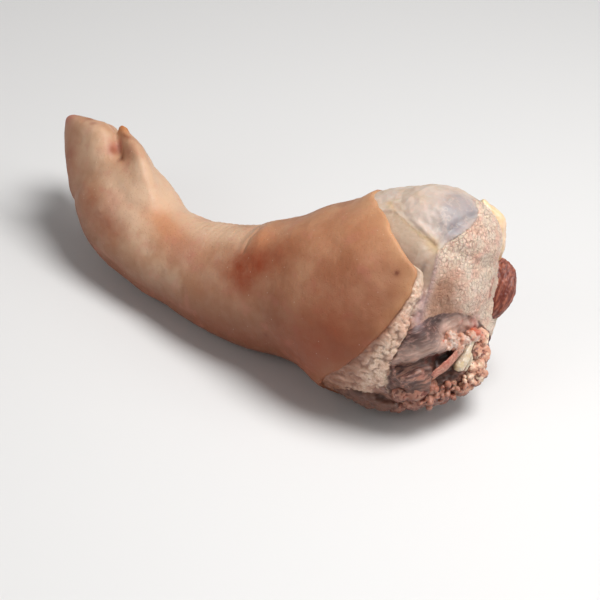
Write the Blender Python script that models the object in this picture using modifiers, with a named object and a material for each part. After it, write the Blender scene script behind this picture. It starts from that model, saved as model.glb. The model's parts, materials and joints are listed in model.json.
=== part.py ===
# Pork front leg: foot and shank in their skin, with the bare meat of the torn upper end.
# Metres, +Z up. The leg lies along X, with the foot towards -X and the cut end towards +X.
# It rests on small flats under the elbow and under the wrist.
import math

import bmesh
import bpy
import numpy as np
from mathutils import Matrix, Vector, noise

# Driving dimensions. The leg bends in one plane, which leans away from upright.
# A place on the leg is given as: along (X), lift (in the bend plane), side (out of it,
# positive towards the side that faces up and forward). Its zero is the elbow's middle.
BEND_LEAN = math.radians(36)
REST_PITCH = math.radians(2.6)
ELBOW = Vector((0.0917, -0.0055, 0.0580))

# Limb sections from the fetlock up: along, lift, half depth in the bend plane, half breadth.
LIMB = (
    (-0.208, 0.003, 0.0280, 0.0270),
    (-0.188, -0.009, 0.0325, 0.0295),
    (-0.173, -0.0165, 0.0324, 0.0290),
    (-0.158, -0.0222, 0.0300, 0.0285),
    (-0.143, -0.0245, 0.0302, 0.0290),
    (-0.130, -0.025, 0.0305, 0.0300),
    (-0.113, -0.025, 0.0335, 0.0335),
    (-0.095, -0.024, 0.0365, 0.0370),
    (-0.075, -0.0205, 0.0400, 0.0405),
    (-0.053, -0.0135, 0.0450, 0.0450),
    (-0.027, -0.007, 0.0570, 0.0530),
    (0.000, 0.000, 0.0655, 0.0570),
    (0.024, 0.010, 0.0700, 0.0580),
    (0.047, 0.018, 0.0685, 0.0560),
    (0.070, 0.022, 0.0640, 0.0520),
)
SECTION_SQUARENESS = 2.15

# Where the skin ends round the limb: angle, along, width of the fat laid bare, its depth.
# Angle 0 is the back of the leg, 90 the near side, 180 the front, 270 the far side.
SKIN_EDGE = (
    (0, 0.009, 0.003, 0.002),
    (22, 0.011, 0.002, 0.002),
    (46, 0.0235, 0.001, 0.003),
    (58, 0.0305, 0.001, 0.004),
    (70, 0.0400, 0.001, 0.004),
    (80, 0.0470, 0.002, 0.004),
    (90, 0.0462, 0.0026, 0.0044),
    (104, 0.0420, 0.0032, 0.0050),
    (112, 0.0352, 0.0080, 0.0050),
    (118, 0.0300, 0.0140, 0.0048),
    (126, 0.0180, 0.0195, 0.0048),
    (135, 0.0060, 0.0245, 0.0050),
    (153, -0.0100, 0.0325, 0.0048),
    (175, -0.0190, 0.036, 0.0050),
    (205, 0.000, 0.026, 0.0055),
    (240, 0.032, 0.012, 0.005),
    (275, 0.048, 0.006, 0.005),
    (305, 0.050, 0.004, 0.004),
    (335, 0.034, 0.003, 0.003),
    (360, 0.009, 0.003, 0.002),
)
SKIN_THICKNESS = 0.0036
# The skin's rolled edge: how far out and down, in skin thicknesses.
SKIN_ROLL = ((0.3, 0.25), (0.4, 1.0))
# Inward steps of the cap that closes the skin, as parts of the limb's radius.
CAP_STEPS = (0.8, 0.5)

# The meat's end: how far it reaches, how round its rim is, how it slants to the far side.
MEAT_START = -0.060
MEAT_END = 0.059
MEAT_RIM = 0.010
MEAT_SLANT = 0.14
MEAT_DOME = 0.004
# The stump's far upper corner is drawn back: how far, from which lift and side, over what.
MEAT_CORNER = 0.019
CORNER_LIFT = 0.042
CORNER_SIDE = 0.016
CORNER_REACH = 0.032

# Swellings (+) and hollows (-) of the skin: along, angle round the limb, reach along,
# reach round, height.
SWELLINGS = (
    (-0.0755, 30, 0.0040, 32, -0.0010),
    (-0.0655, 38, 0.0085, 30, 0.0004),
    # slack fold ahead of the skin's lower corner
    (-0.036, 165, 0.014, 34, -0.0045),
)

# Near toe sections: front edge (along, lift), back edge (along, lift), half breadth.
TOE = (
    ((-0.200, -0.026), (-0.172, 0.010), 0.0120),
    ((-0.222, -0.016), (-0.188, 0.018), 0.0150),
    ((-0.236, 0.002), (-0.1985, 0.0225), 0.0165),
    ((-0.2445, 0.017), (-0.2050, 0.0290), 0.0160),
    ((-0.2485, 0.027), (-0.2095, 0.0338), 0.0148),
    ((-0.2490, 0.0322), (-0.2140, 0.0364), 0.0120),
    ((-0.2455, 0.0352), (-0.2200, 0.0384), 0.0070),
)
TOE_SPACING = 0.0145
TOE_SPLAY = 0.05
TOE_TAPER = 0.30
FOOT_TWIST = math.radians(24)

# Dewclaw sections: front edge, back edge, half breadth.
DEWCLAW = (
    ((-0.190, -0.010), (-0.150, -0.006), 0.0110),
    ((-0.1940, 0.004), (-0.1590, 0.0070), 0.0126),
    ((-0.1985, 0.016), (-0.1685, 0.0178), 0.0136),
    ((-0.2030, 0.0270), (-0.1785, 0.0282), 0.0122),
    ((-0.2068, 0.0345), (-0.1862, 0.0338), 0.0092),
    ((-0.2080, 0.0385), (-0.1980, 0.0378), 0.0062),
    ((-0.2070, 0.0408), (-0.2020, 0.0407), 0.0034),
)
DEWCLAW_SPACING = 0.0165
# How much lower the far dewclaw stands.
FAR_DEWCLAW_DROP = 0.004

# Where the skin runs smoothly from one form into the next: along, lift, side, the three
# reaches, strength.
JOINS = (
    (-0.160, 0.010, 0.012, 0.016, 0.012, 0.022, 1.0),
    (-0.148, 0.008, 0.012, 0.012, 0.010, 0.022, 1.0),
    (-0.185, 0.004, 0.014, 0.016, 0.012, 0.020, 0.8),
    (-0.200, -0.020, 0.010, 0.014, 0.014, 0.024, 0.8),
    (-0.197, -0.006, 0.026, 0.014, 0.018, 0.012, 1.0),
    (-0.197, -0.006, -0.026, 0.014, 0.018, 0.012, 1.0),
    (-0.189, 0.012, 0.025, 0.013, 0.013, 0.012, 1.0),
    (-0.189, 0.012, -0.025, 0.013, 0.013, 0.012, 1.0),
    (-0.175, 0.013, 0.027, 0.014, 0.012, 0.013, 1.0),
    (-0.175, 0.013, -0.027, 0.014, 0.012, 0.013, 1.0),
    (-0.163, 0.008, 0.027, 0.013, 0.012, 0.013, 1.0),
    (-0.163, 0.008, -0.027, 0.013, 0.012, 0.013, 1.0),
)
JOIN_STEPS = 80

# Rounded forms of the bare end: along, lift, side, then the three half sizes.
BELLIES = (
    # upper belly under its white sheet
    (0.030, 0.055, 0.004, 0.036, 0.0285, 0.041),
    # broad belly on the end, under crackled fat
    (0.040, 0.030, -0.001, 0.027, 0.044, 0.044),
    # lower mass that reaches furthest
    (0.046, -0.014, -0.016, 0.026, 0.030, 0.032),
    # slim belly in its silver sheet
    (0.043, -0.008, 0.0265, 0.022, 0.014, 0.0225),
    # dark belly on the far side
    (0.055, 0.034, -0.038, 0.017, 0.021, 0.009),
    # soft flap below the fat
    (0.020, -0.053, 0.004, 0.026, 0.0085, 0.016),
    # dark chunk in the cavity
    (0.0500, -0.0325, 0.0250, 0.0105, 0.0060, 0.0120),
)
# Torn lumps along the lower rim and up the far side, and pale ones beside the gristle:
# along, lift, side, radius.
LUMPS = (
    (0.0400, -0.0500, -0.0040, 0.0085),
    (0.0510, -0.0450, 0.0000, 0.0085),
    (0.0570, -0.0410, -0.0090, 0.0070),
    (0.0600, -0.0380, -0.0190, 0.0060),
    (0.0640, -0.0330, -0.0150, 0.0055),
    (0.0680, -0.0280, -0.0230, 0.0065),
    (0.0700, -0.0190, -0.0290, 0.0080),
    (0.0670, -0.0060, -0.0290, 0.0085),
    (0.0655, 0.0030, -0.0250, 0.0068),
    (0.0545, -0.0390, 0.0120, 0.0085),
    (0.0600, -0.0350, 0.0060, 0.0060),
    (0.0500, -0.0440, 0.0180, 0.0060),
    (0.0690, -0.0150, -0.0190, 0.0055),
)
NODULES = (
    (0.0640, -0.0072, 0.0140, 0.0038),
    (0.0648, -0.0030, 0.0130, 0.0040),
    (0.0672, -0.0045, 0.0090, 0.0046),
    (0.0690, -0.0005, 0.0050, 0.0040),
    (0.0695, -0.0048, 0.0055, 0.0038),
    (0.0690, 0.0030, -0.0060, 0.0040),
    (0.0675, 0.0050, -0.0120, 0.0042),
)
# Cords of tissue: radius, the places that they run through, thickness at each place.
GRISTLE = (0.0030, (
    (0.0675, 0.0045, -0.0110), (0.0700, -0.0015, -0.0080), (0.0708, -0.0076, -0.0055),
    (0.0712, -0.0128, -0.0030), (0.0708, -0.0162, -0.0020),
), (0.8, 0.7, 0.95, 1.45, 1.3))
LIP = (0.0034, (
    (0.0440, -0.0300, 0.0395), (0.0490, -0.0245, 0.0370), (0.0540, -0.0205, 0.0345),
    (0.0580, -0.0170, 0.0310), (0.0610, -0.0130, 0.0265), (0.0636, -0.0100, 0.0205),
    (0.0640, -0.0080, 0.0140),
), (1,) * 7)
FAR_STRIP = (0.0066, (
    (0.0400, 0.0810, -0.0080), (0.0500, 0.0755, -0.0150), (0.0510, 0.0680, -0.0200),
    (0.0530, 0.0595, -0.0285), (0.0525, 0.0510, -0.0370),
), (0.4, 1.0, 1.1, 0.8, 0.45))
# Slits torn into the end: radius, the places that they run through, width at each place.
SLITS = (
    (0.0046, (
        (0.0500, -0.0330, 0.0360), (0.0560, -0.0275, 0.0320), (0.0600, -0.0235, 0.0285),
        (0.0635, -0.0200, 0.0225), (0.0660, -0.0175, 0.0140), (0.0690, -0.0150, 0.0060),
    ), (1,) * 6),
    (0.0052, (
        (0.0590, -0.0330, 0.0120), (0.0640, -0.0270, 0.0060), (0.0690, -0.0225, 0.0000),
        (0.0720, -0.0190, -0.0050),
    ), (1,) * 4),
)

# Grooves (-) and welts (+) on the bare end: half width, height, places that they follow.
SEAMS = (
    (0.0035, -0.0035, (
        (0.058, 0.080, 0.010), (0.052, 0.070, 0.026), (0.050, 0.058, 0.038),
        (0.050, 0.047, 0.044),
    )),
    (0.0030, 0.0018, (
        (-0.001, 0.060, 0.030), (0.017, 0.058, 0.039), (0.036, 0.052, 0.045),
        (0.049, 0.047, 0.044),
    )),
    (0.0040, -0.0030, (
        (0.050, 0.046, 0.045), (0.056, 0.031, 0.044), (0.056, 0.015, 0.046),
        (0.052, -0.001, 0.048), (0.048, -0.012, 0.046),
    )),
    (0.0035, -0.0030, (
        (0.052, -0.001, 0.048), (0.058, 0.008, 0.044), (0.064, 0.014, 0.028),
        (0.070, 0.012, 0.000),
    )),
)
CRAG_PLACE = (0.060, -0.030, -0.006)
CRAG_REACH = 0.034
CRAG_SIZE = 0.007
CRAG_HEIGHT = 0.0022

# Mesh fineness.
LIMB_RINGS = 84
LIMB_SEGMENTS = 72
FAT_RINGS = 3
MEAT_RINGS = 40
RIM_RINGS = 8
DOME_RINGS = 4
DIGIT_RINGS = 20
DIGIT_SEGMENTS = 24
BALL_SUBDIVISIONS = 3
CORD_BEVEL = 3
CORD_STEPS = 5
WELD_DISTANCE = 0.00005
VOXEL = 0.0015
SMOOTH_STEPS = 3
LAST_SMOOTH_STEPS = 1
LEG_TRIANGLES = 11000
SKIN_COLOUR = (0.55, 0.34, 0.22, 1)
SKIN_ROUGHNESS = 0.45


def place(along, lift, side):
    """World position of a place on the leg."""
    lean_sin = math.sin(BEND_LEAN)
    lean_cos = math.cos(BEND_LEAN)
    upright = Vector((
        along,
        lift * lean_sin - side * lean_cos,
        lift * lean_cos + side * lean_sin,
    ))
    return ELBOW + Matrix.Rotation(-REST_PITCH, 3, "Y") @ upright


def leg_places(points):
    """Places (along, lift, side) of an array of world positions."""
    axes = np.array([place(*axis) - ELBOW for axis in ((1, 0, 0), (0, 1, 0), (0, 0, 1))])
    return (points - np.array(ELBOW)) @ axes.T


def smooth_through(rows, at):
    """Values at the places `at` on a smooth curve through rows of (place, value, ...)."""
    table = np.array(rows, dtype=float)
    knots = table[:, 0]
    values = table[:, 1:]
    slopes = np.gradient(values, knots, axis=0)
    at = np.clip(np.asarray(at, dtype=float), knots[0], knots[-1])
    low = np.clip(np.searchsorted(knots, at) - 1, 0, len(knots) - 2)
    span = (knots[low + 1] - knots[low])[..., None]
    t = (at[..., None] - knots[low][..., None]) / span
    return (
        (2 * t**3 - 3 * t**2 + 1) * values[low]
        + (t**3 - 2 * t**2 + t) * span * slopes[low]
        + (3 * t**2 - 2 * t**3) * values[low + 1]
        + (t**3 - t**2) * span * slopes[low + 1]
    )


def swelling(along, angle):
    """Height of the skin's swellings and hollows at a place (angle in radians)."""
    height = np.zeros(np.broadcast(along, angle).shape)
    for centre, turn, reach, spread, rise in SWELLINGS:
        apart = np.degrees(np.angle(np.exp(1j * (angle - math.radians(turn)))))
        height += rise * np.exp(-((along - centre) / reach) ** 2 - (apart / spread) ** 2)
    return height


def limb_radius(along, angle):
    """Distance from the limb's centreline to its skin."""
    sizes = smooth_through(LIMB, along)
    depth = sizes[..., 1]
    breadth = sizes[..., 2]
    power = SECTION_SQUARENESS
    round_radius = (
        np.abs(np.cos(angle) / depth) ** power + np.abs(np.sin(angle) / breadth) ** power
    ) ** (-1 / power)
    return round_radius + swelling(along, angle)


def limb_point(along, angle, radius):
    """Place (along, lift, side) at a radius and angle in the limb's section."""
    step = 0.002
    lift = smooth_through(LIMB, along)[..., 0]
    rise = smooth_through(LIMB, along + step)[..., 0] - smooth_through(LIMB, along - step)[..., 0]
    slope = rise / (2 * step)
    length = np.sqrt(1 + slope**2)
    up = radius * np.cos(angle)
    side = radius * np.sin(angle)
    return np.stack([along - up * slope / length, lift + up / length, side], axis=-1)


def around(segments):
    return np.linspace(0, 2 * math.pi, segments, endpoint=False)


def skin_rings():
    """Rings of the skin sleeve: fetlock to skin edge, then over the bared fat and inward."""
    angles = around(LIMB_SEGMENTS)
    edge, width, drop = smooth_through(SKIN_EDGE, np.degrees(angles)).T
    first = LIMB[0][0]
    rings = []
    for part in np.linspace(0, 1, LIMB_RINGS):
        along = first + part * (edge - first)
        rings.append(limb_point(along, angles, limb_radius(along, angles)))
    skin = SKIN_THICKNESS
    for out, down in SKIN_ROLL:
        along = edge + out * skin
        rings.append(limb_point(along, angles, limb_radius(along, angles) - down * skin))
    over = SKIN_ROLL[-1][0] * skin
    for part in np.linspace(1 / FAT_RINGS, 1, FAT_RINGS):
        along = edge + over + part * width
        depth = skin + part * (drop - skin)
        rings.append(limb_point(along, angles, limb_radius(along, angles) - depth))
    for inward in CAP_STEPS:
        rings.append(limb_point(along, angles, inward * limb_radius(along, angles)))
    return np.array(rings)


def meat_rings():
    """Rings of the meat core, which runs inside the skin and ends in a rounded stump."""
    angles = around(LIMB_SEGMENTS)
    drop = smooth_through(SKIN_EDGE, np.degrees(angles))[:, 2]
    rings = []
    for start in np.linspace(MEAT_START, MEAT_END - MEAT_RIM, MEAT_RINGS):
        along = np.full(LIMB_SEGMENTS, start)
        rings.append(limb_point(along, angles, limb_radius(along, angles) - drop))
    for turn in np.linspace(0, math.pi / 2, RIM_RINGS + 1)[1:]:
        along = np.full(LIMB_SEGMENTS, MEAT_END - MEAT_RIM + MEAT_RIM * math.sin(turn))
        radius = limb_radius(along, angles) - drop - MEAT_RIM * (1 - math.cos(turn))
        rings.append(limb_point(along, angles, radius))
    for part in np.linspace(1, 0, DOME_RINGS + 1, endpoint=False)[1:]:
        ring = limb_point(along, angles, part * radius)
        ring[:, 0] += MEAT_DOME * (1 - part)
        rings.append(ring)
    rings = np.array(rings)
    run = np.clip((rings[..., 0] - MEAT_START) / (MEAT_END - MEAT_START), 0, 1) ** 2
    rings[..., 0] -= MEAT_SLANT * run * rings[..., 2]
    high = np.clip((rings[..., 1] - CORNER_LIFT) / CORNER_REACH, 0, 1)
    far = np.clip((CORNER_SIDE - rings[..., 2]) / CORNER_REACH, 0, 1)
    rings[..., 0] -= MEAT_CORNER * high * far * run
    return rings


def digit_rings(sections, spacing, drop=0):
    """Rings of a toe or dewclaw, which stands off the foot's middle by its spacing."""
    rows = [(i, *front, *back, half) for i, (front, back, half) in enumerate(sections)]
    angles = around(DIGIT_SEGMENTS)
    toward = math.copysign(1, spacing)
    rings = []
    for spot in np.linspace(0, len(sections) - 1, DIGIT_RINGS):
        values = smooth_through(rows, spot)
        middle = (values[0:2] + values[2:4]) / 2
        reach = (values[2:4] - values[0:2]) / 2
        half = values[4]
        flat = middle[:, None] + reach[:, None] * np.cos(angles)
        wide = half * np.sin(angles) * (1 + TOE_TAPER * np.cos(angles))
        out = spacing + toward * TOE_SPLAY * spot * half + wide
        along = flat[0] + (out - abs(spacing)) * math.sin(FOOT_TWIST)
        lift = flat[1] - drop
        rings.append(np.stack([along, lift, out * math.cos(FOOT_TWIST)], axis=-1))
    return np.array(rings)


def mesh_from_rings(name, rings):
    """Closed tube through rings of places (along, lift, side), with a fan at each end."""
    segments = rings.shape[1]
    shape = bmesh.new()
    verts = [[shape.verts.new(place(*spot)) for spot in ring] for ring in rings]
    for lower, upper in zip(verts, verts[1:]):
        for i in range(segments):
            j = (i + 1) % segments
            shape.faces.new((lower[i], lower[j], upper[j], upper[i]))
    for ring, backward in ((verts[0], True), (verts[-1], False)):
        middle = sum((vert.co for vert in ring), Vector()) / segments
        centre = shape.verts.new(middle)
        for i in range(segments):
            j = (i + 1) % segments
            corners = (ring[j], ring[i], centre) if backward else (ring[i], ring[j], centre)
            shape.faces.new(corners)
    bmesh.ops.recalc_face_normals(shape, faces=shape.faces)
    mesh = bpy.data.meshes.new(name)
    shape.to_mesh(mesh)
    shape.free()
    return mesh


def ball_mesh(name, centre, half_sizes):
    """Rounded form with its own half sizes along the leg's three directions."""
    shape = bmesh.new()
    bmesh.ops.create_icosphere(shape, subdivisions=BALL_SUBDIVISIONS, radius=1)
    for vert in shape.verts:
        vert.co = place(*(c + h * v for c, h, v in zip(centre, half_sizes, vert.co)))
    bmesh.ops.recalc_face_normals(shape, faces=shape.faces)
    mesh = bpy.data.meshes.new(name)
    shape.to_mesh(mesh)
    shape.free()
    return mesh


def cord_mesh(name, radius, places, thickness):
    """Round cord through some places, from a bevelled curve with filled caps."""
    curve = bpy.data.curves.new(name, "CURVE")
    curve.dimensions = "3D"
    curve.bevel_depth = radius
    curve.bevel_resolution = CORD_BEVEL
    curve.resolution_u = CORD_STEPS
    curve.use_fill_caps = True
    spline = curve.splines.new("NURBS")
    spline.points.add(len(places) - 1)
    for point, spot, part in zip(spline.points, places, thickness):
        point.co = (*place(*spot), 1)
        point.radius = part
    spline.order_u = 3
    spline.use_endpoint_u = True
    cord = bpy.data.objects.new(name, curve)
    bpy.context.scene.collection.objects.link(cord)
    mesh = evaluated_mesh(cord)
    bpy.data.objects.remove(cord)
    shape = bmesh.new()
    shape.from_mesh(mesh)
    bmesh.ops.remove_doubles(shape, verts=shape.verts, dist=WELD_DISTANCE)
    bmesh.ops.recalc_face_normals(shape, faces=shape.faces)
    shape.to_mesh(mesh)
    shape.free()
    return mesh


def evaluated_mesh(piece):
    """The mesh of an object with its modifiers applied."""
    view = bpy.context.evaluated_depsgraph_get()
    view.update()
    return bpy.data.meshes.new_from_object(piece.evaluated_get(view))


def add_object(name, mesh, collection):
    piece = bpy.data.objects.new(name, mesh)
    collection.objects.link(piece)
    return piece


def apply_modifiers(piece):
    """Replace an object's mesh by its modified mesh."""
    mesh = evaluated_mesh(piece)
    piece.modifiers.clear()
    piece.data = mesh


def boolean(piece, operation, collection):
    """Join the objects of a collection to the piece, or cut them from it."""
    modifier = piece.modifiers.new(operation.lower(), "BOOLEAN")
    modifier.operation = operation
    modifier.operand_type = "COLLECTION"
    modifier.collection = collection
    modifier.solver = "EXACT"
    modifier.use_self = True


def distance_to_line(points, line):
    """Distance of each point to a line through several places."""
    best = np.full(len(points), np.inf)
    for start, end in zip(np.array(line), np.array(line)[1:]):
        run = end - start
        t = np.clip((points - start) @ run / (run @ run), 0, 1)
        best = np.minimum(best, np.linalg.norm(points - start - t[:, None] * run, axis=1))
    return best


def carve(piece):
    """Press the seams and the torn crags into the bare end, along the surface normals."""
    mesh = piece.data
    points = np.array([vert.co for vert in mesh.vertices])
    normals = np.array([vert.normal for vert in mesh.vertices])
    spots = leg_places(points)
    height = np.zeros(len(points))
    for width, rise, line in SEAMS:
        height += rise * np.exp(-(distance_to_line(spots, line) / width) ** 2)
    torn = np.exp(-(np.linalg.norm(spots - CRAG_PLACE, axis=1) / CRAG_REACH) ** 4)
    crags = np.array([noise.noise(Vector(spot) / CRAG_SIZE) for spot in spots])
    height += CRAG_HEIGHT * torn * crags
    moved = points + height[:, None] * normals
    mesh.vertices.foreach_set("co", moved.ravel())
    mesh.update()


def even_out(piece, smooth_steps):
    """Turn the joined forms into one even skin, and soften its creases."""
    remesh = piece.modifiers.new("even_out", "REMESH")
    remesh.mode = "VOXEL"
    remesh.voxel_size = VOXEL
    smooth = piece.modifiers.new("soften", "SMOOTH")
    smooth.iterations = smooth_steps
    apply_modifiers(piece)


def blend_joins(piece):
    """Let the skin run smoothly from one form into the next."""
    spots = leg_places(np.array([vert.co for vert in piece.data.vertices]))
    weights = np.zeros(len(spots))
    for row in JOINS:
        apart = (spots - np.array(row[:3])) / np.array(row[3:6])
        weights += row[6] * np.exp(-(apart**2).sum(axis=1))
    group = piece.vertex_groups.new(name="joins")
    for number, weight in enumerate(np.clip(weights, 0, 1)):
        group.add([number], float(weight), "REPLACE")
    soften = piece.modifiers.new("blend", "SMOOTH")
    soften.vertex_group = group.name
    soften.iterations = JOIN_STEPS
    apply_modifiers(piece)
    piece.vertex_groups.clear()


def press_flat(piece):
    """Press what would sink into the floor flat, as the leg's own weight does."""
    for vert in piece.data.vertices:
        vert.co.z = max(vert.co.z, 0)
    piece.data.update()


def thin_out(piece, triangles):
    """Bring the mesh down to about a number of triangles."""
    piece.data.calc_loop_triangles()
    modifier = piece.modifiers.new("thin_out", "DECIMATE")
    modifier.ratio = triangles / len(piece.data.loop_triangles)
    apply_modifiers(piece)


def keep_outer_body(piece):
    """Drop loose scraps and sealed hollows, keeping the largest body."""
    shape = bmesh.new()
    shape.from_mesh(piece.data)
    unseen = set(shape.verts)
    bodies = []
    while unseen:
        body = {unseen.pop()}
        edge_of_body = set(body)
        while edge_of_body:
            vert = edge_of_body.pop()
            for link in vert.link_edges:
                other = link.other_vert(vert)
                if other in unseen:
                    unseen.discard(other)
                    body.add(other)
                    edge_of_body.add(other)
        bodies.append(body)
    largest = max(bodies, key=len)
    scraps = [vert for body in bodies if body is not largest for vert in body]
    bmesh.ops.delete(shape, geom=scraps, context="VERTS")
    shape.to_mesh(piece.data)
    shape.free()


def skin_material():
    material = bpy.data.materials.new("raw_skin")
    material.use_nodes = True
    shader = material.node_tree.nodes["Principled BSDF"]
    shader.inputs["Base Color"].default_value = SKIN_COLOUR
    shader.inputs["Roughness"].default_value = SKIN_ROUGHNESS
    shader.inputs["Metallic"].default_value = 0
    material.diffuse_color = SKIN_COLOUR
    return material


def build_leg(parts, forms, slits):
    """The whole leg as one solid."""
    leg = add_object("leg", mesh_from_rings("leg", skin_rings()), parts)
    add_object("meat", mesh_from_rings("meat", meat_rings()), forms)
    for label, toward in (("near", 1), ("far", -1)):
        rings = digit_rings(TOE, toward * TOE_SPACING)
        add_object(f"toe_{label}", mesh_from_rings(f"toe_{label}", rings), forms)
        drop = FAR_DEWCLAW_DROP if toward < 0 else 0
        rings = digit_rings(DEWCLAW, toward * DEWCLAW_SPACING, drop)
        add_object(f"dewclaw_{label}", mesh_from_rings(f"dewclaw_{label}", rings), forms)
    for number, belly in enumerate(BELLIES):
        add_object(f"belly_{number}", ball_mesh(f"belly_{number}", belly[:3], belly[3:]), forms)
    for number, (*spot, radius) in enumerate(LUMPS + NODULES):
        add_object(f"lump_{number}", ball_mesh(f"lump_{number}", spot, [radius] * 3), forms)
    for label, cord in (("gristle", GRISTLE), ("lip", LIP), ("far_strip", FAR_STRIP)):
        add_object(label, cord_mesh(label, *cord), forms)
    for number, slit in enumerate(SLITS):
        add_object(f"slit_{number}", cord_mesh(f"slit_{number}", *slit), slits)
    boolean(leg, "UNION", forms)
    apply_modifiers(leg)
    boolean(leg, "DIFFERENCE", slits)
    apply_modifiers(leg)
    even_out(leg, SMOOTH_STEPS)
    blend_joins(leg)
    carve(leg)
    even_out(leg, LAST_SMOOTH_STEPS)
    keep_outer_body(leg)
    thin_out(leg, LEG_TRIANGLES)
    press_flat(leg)
    return leg


def clear_scene():
    for item in list(bpy.data.objects):
        bpy.data.objects.remove(item, do_unlink=True)


def add_collection(name):
    collection = bpy.data.collections.new(name)
    bpy.context.scene.collection.children.link(collection)
    return collection


def main():
    clear_scene()
    parts = add_collection("pork_front_leg")
    forms = add_collection("forms")
    slits = add_collection("slits")
    leg = build_leg(parts, forms, slits)
    for collection in (forms, slits):
        for item in list(collection.objects):
            bpy.data.objects.remove(item, do_unlink=True)
        bpy.data.collections.remove(collection)
    leg.data.materials.clear()
    leg.data.materials.append(skin_material())
    leg.data.shade_smooth()


main()
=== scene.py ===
# Pork front leg, dressed: skin with its cut edge, bared fat, torn meat, gristle and lumps.
# Metres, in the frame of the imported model. A place on the leg is (along, lift, side):
# along the bone, up in the plane that the leg bends in, and out towards the side on show.
import json
import math

import bmesh
import bpy
import numpy as np
from mathutils import Matrix, Vector, noise

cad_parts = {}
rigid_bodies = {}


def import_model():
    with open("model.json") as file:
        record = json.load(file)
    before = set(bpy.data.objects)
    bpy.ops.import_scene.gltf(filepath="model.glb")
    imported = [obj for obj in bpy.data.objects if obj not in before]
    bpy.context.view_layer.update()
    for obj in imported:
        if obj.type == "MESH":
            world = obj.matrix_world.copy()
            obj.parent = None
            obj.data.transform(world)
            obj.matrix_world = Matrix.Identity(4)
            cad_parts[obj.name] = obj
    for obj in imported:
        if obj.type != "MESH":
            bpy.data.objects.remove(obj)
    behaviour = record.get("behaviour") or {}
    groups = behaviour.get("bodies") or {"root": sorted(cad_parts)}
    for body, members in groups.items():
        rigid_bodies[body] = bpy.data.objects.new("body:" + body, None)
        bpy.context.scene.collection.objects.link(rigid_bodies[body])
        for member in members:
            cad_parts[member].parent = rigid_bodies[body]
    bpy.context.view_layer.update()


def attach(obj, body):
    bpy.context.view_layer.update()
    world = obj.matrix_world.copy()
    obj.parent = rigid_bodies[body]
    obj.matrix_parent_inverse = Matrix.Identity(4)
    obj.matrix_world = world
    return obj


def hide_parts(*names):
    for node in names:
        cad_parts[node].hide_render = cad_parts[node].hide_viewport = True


def metres(value, *plain):
    """Millimetres, a number or a table, in metres. Some places of it may be plain numbers."""
    if not isinstance(value, tuple):
        return value / 1000
    return tuple(item if i in plain else metres(item) for i, item in enumerate(value))


def metre_rows(table, *plain):
    """Rows of millimetres in metres, but for their plain columns."""
    return tuple(metres(row, *plain) for row in table)


# The solid's own dimensions.
BEND_LEAN = math.radians(36)
REST_PITCH = math.radians(2.6)
ELBOW = Vector((0.0917, -0.0055, 0.0580))
# Limb sections from the fetlock up: along, lift, half depth in the bend plane, half breadth.
LIMB = metres((
    (-208, 3, 28, 27), (-188, -9, 32.5, 29.5), (-173, -16.5, 32.4, 29), (-158, -22.2, 30, 28.5),
    (-143, -24.5, 30.2, 29), (-130, -25, 30.5, 30), (-113, -25, 33.5, 33.5),
    (-95, -24, 36.5, 37), (-75, -20.5, 40, 40.5), (-53, -13.5, 45, 45), (-27, -7, 57, 53),
    (0, 0, 65.5, 57), (24, 10, 70, 58), (47, 18, 68.5, 56), (70, 22, 64, 52),
))
SECTION_SQUARENESS = 2.15
# Where the skin ends round the limb: angle, along, width of the fat laid bare, its depth.
SKIN_EDGE = metre_rows((
    (0, 9, 3, 2), (22, 11, 2, 2), (46, 23.5, 1, 3), (58, 30.5, 1, 4), (70, 40, 1, 4),
    (80, 47, 2, 4), (90, 46.2, 2.6, 4.4), (104, 42, 3.2, 5), (112, 35.2, 8, 5),
    (118, 30, 14, 4.8), (126, 18, 19.5, 4.8), (135, 6, 24.5, 5), (153, -10, 32.5, 4.8),
    (175, -19, 36, 5), (205, 0, 26, 5.5), (240, 32, 12, 5), (275, 48, 6, 5), (305, 50, 4, 4),
    (335, 34, 3, 3), (360, 9, 3, 2),
), 0)
SKIN_THICKNESS = 0.0036
# Over the skin's cut edge: how far out and how far down, in skin thicknesses.
CUT_PROFILE = ((0.25, 0.2), (0.4, 0.6), (0.35, 1.0), (0.0, 1.15))
SKIN_TUCK = 0.005
FAT_TUCK = 0.012
# Over the fat's inner edge: how far out, how far down, and the share of the radius.
FAT_EDGE = metre_rows((
    (0.8, 1.2, 1.0), (0.8, 3, 1.0), (-2, 0, 0.85), (-2, 0, 0.6), (-2, 0, 0.3),
), 2)
EDGE_WAVE = 0.0007
MEAT_TUCK = 0.014
MEAT_END = 0.059
MEAT_RIM = 0.010
MEAT_SLANT = 0.14
MEAT_SLANT_START = -0.060
MEAT_DOME = 0.004
# The stump's far upper corner is drawn back: how far, from which lift and side, and over what.
MEAT_CORNER = 0.019
CORNER_LIFT = 0.042
CORNER_SIDE = 0.016
CORNER_REACH = 0.032
SWELLINGS = metre_rows((
    (-75.5, 30, 4, 32, -1), (-65.5, 38, 8.5, 30, 0.4), (-36, 165, 14, 34, -4.5),
), 1, 3)
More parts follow.
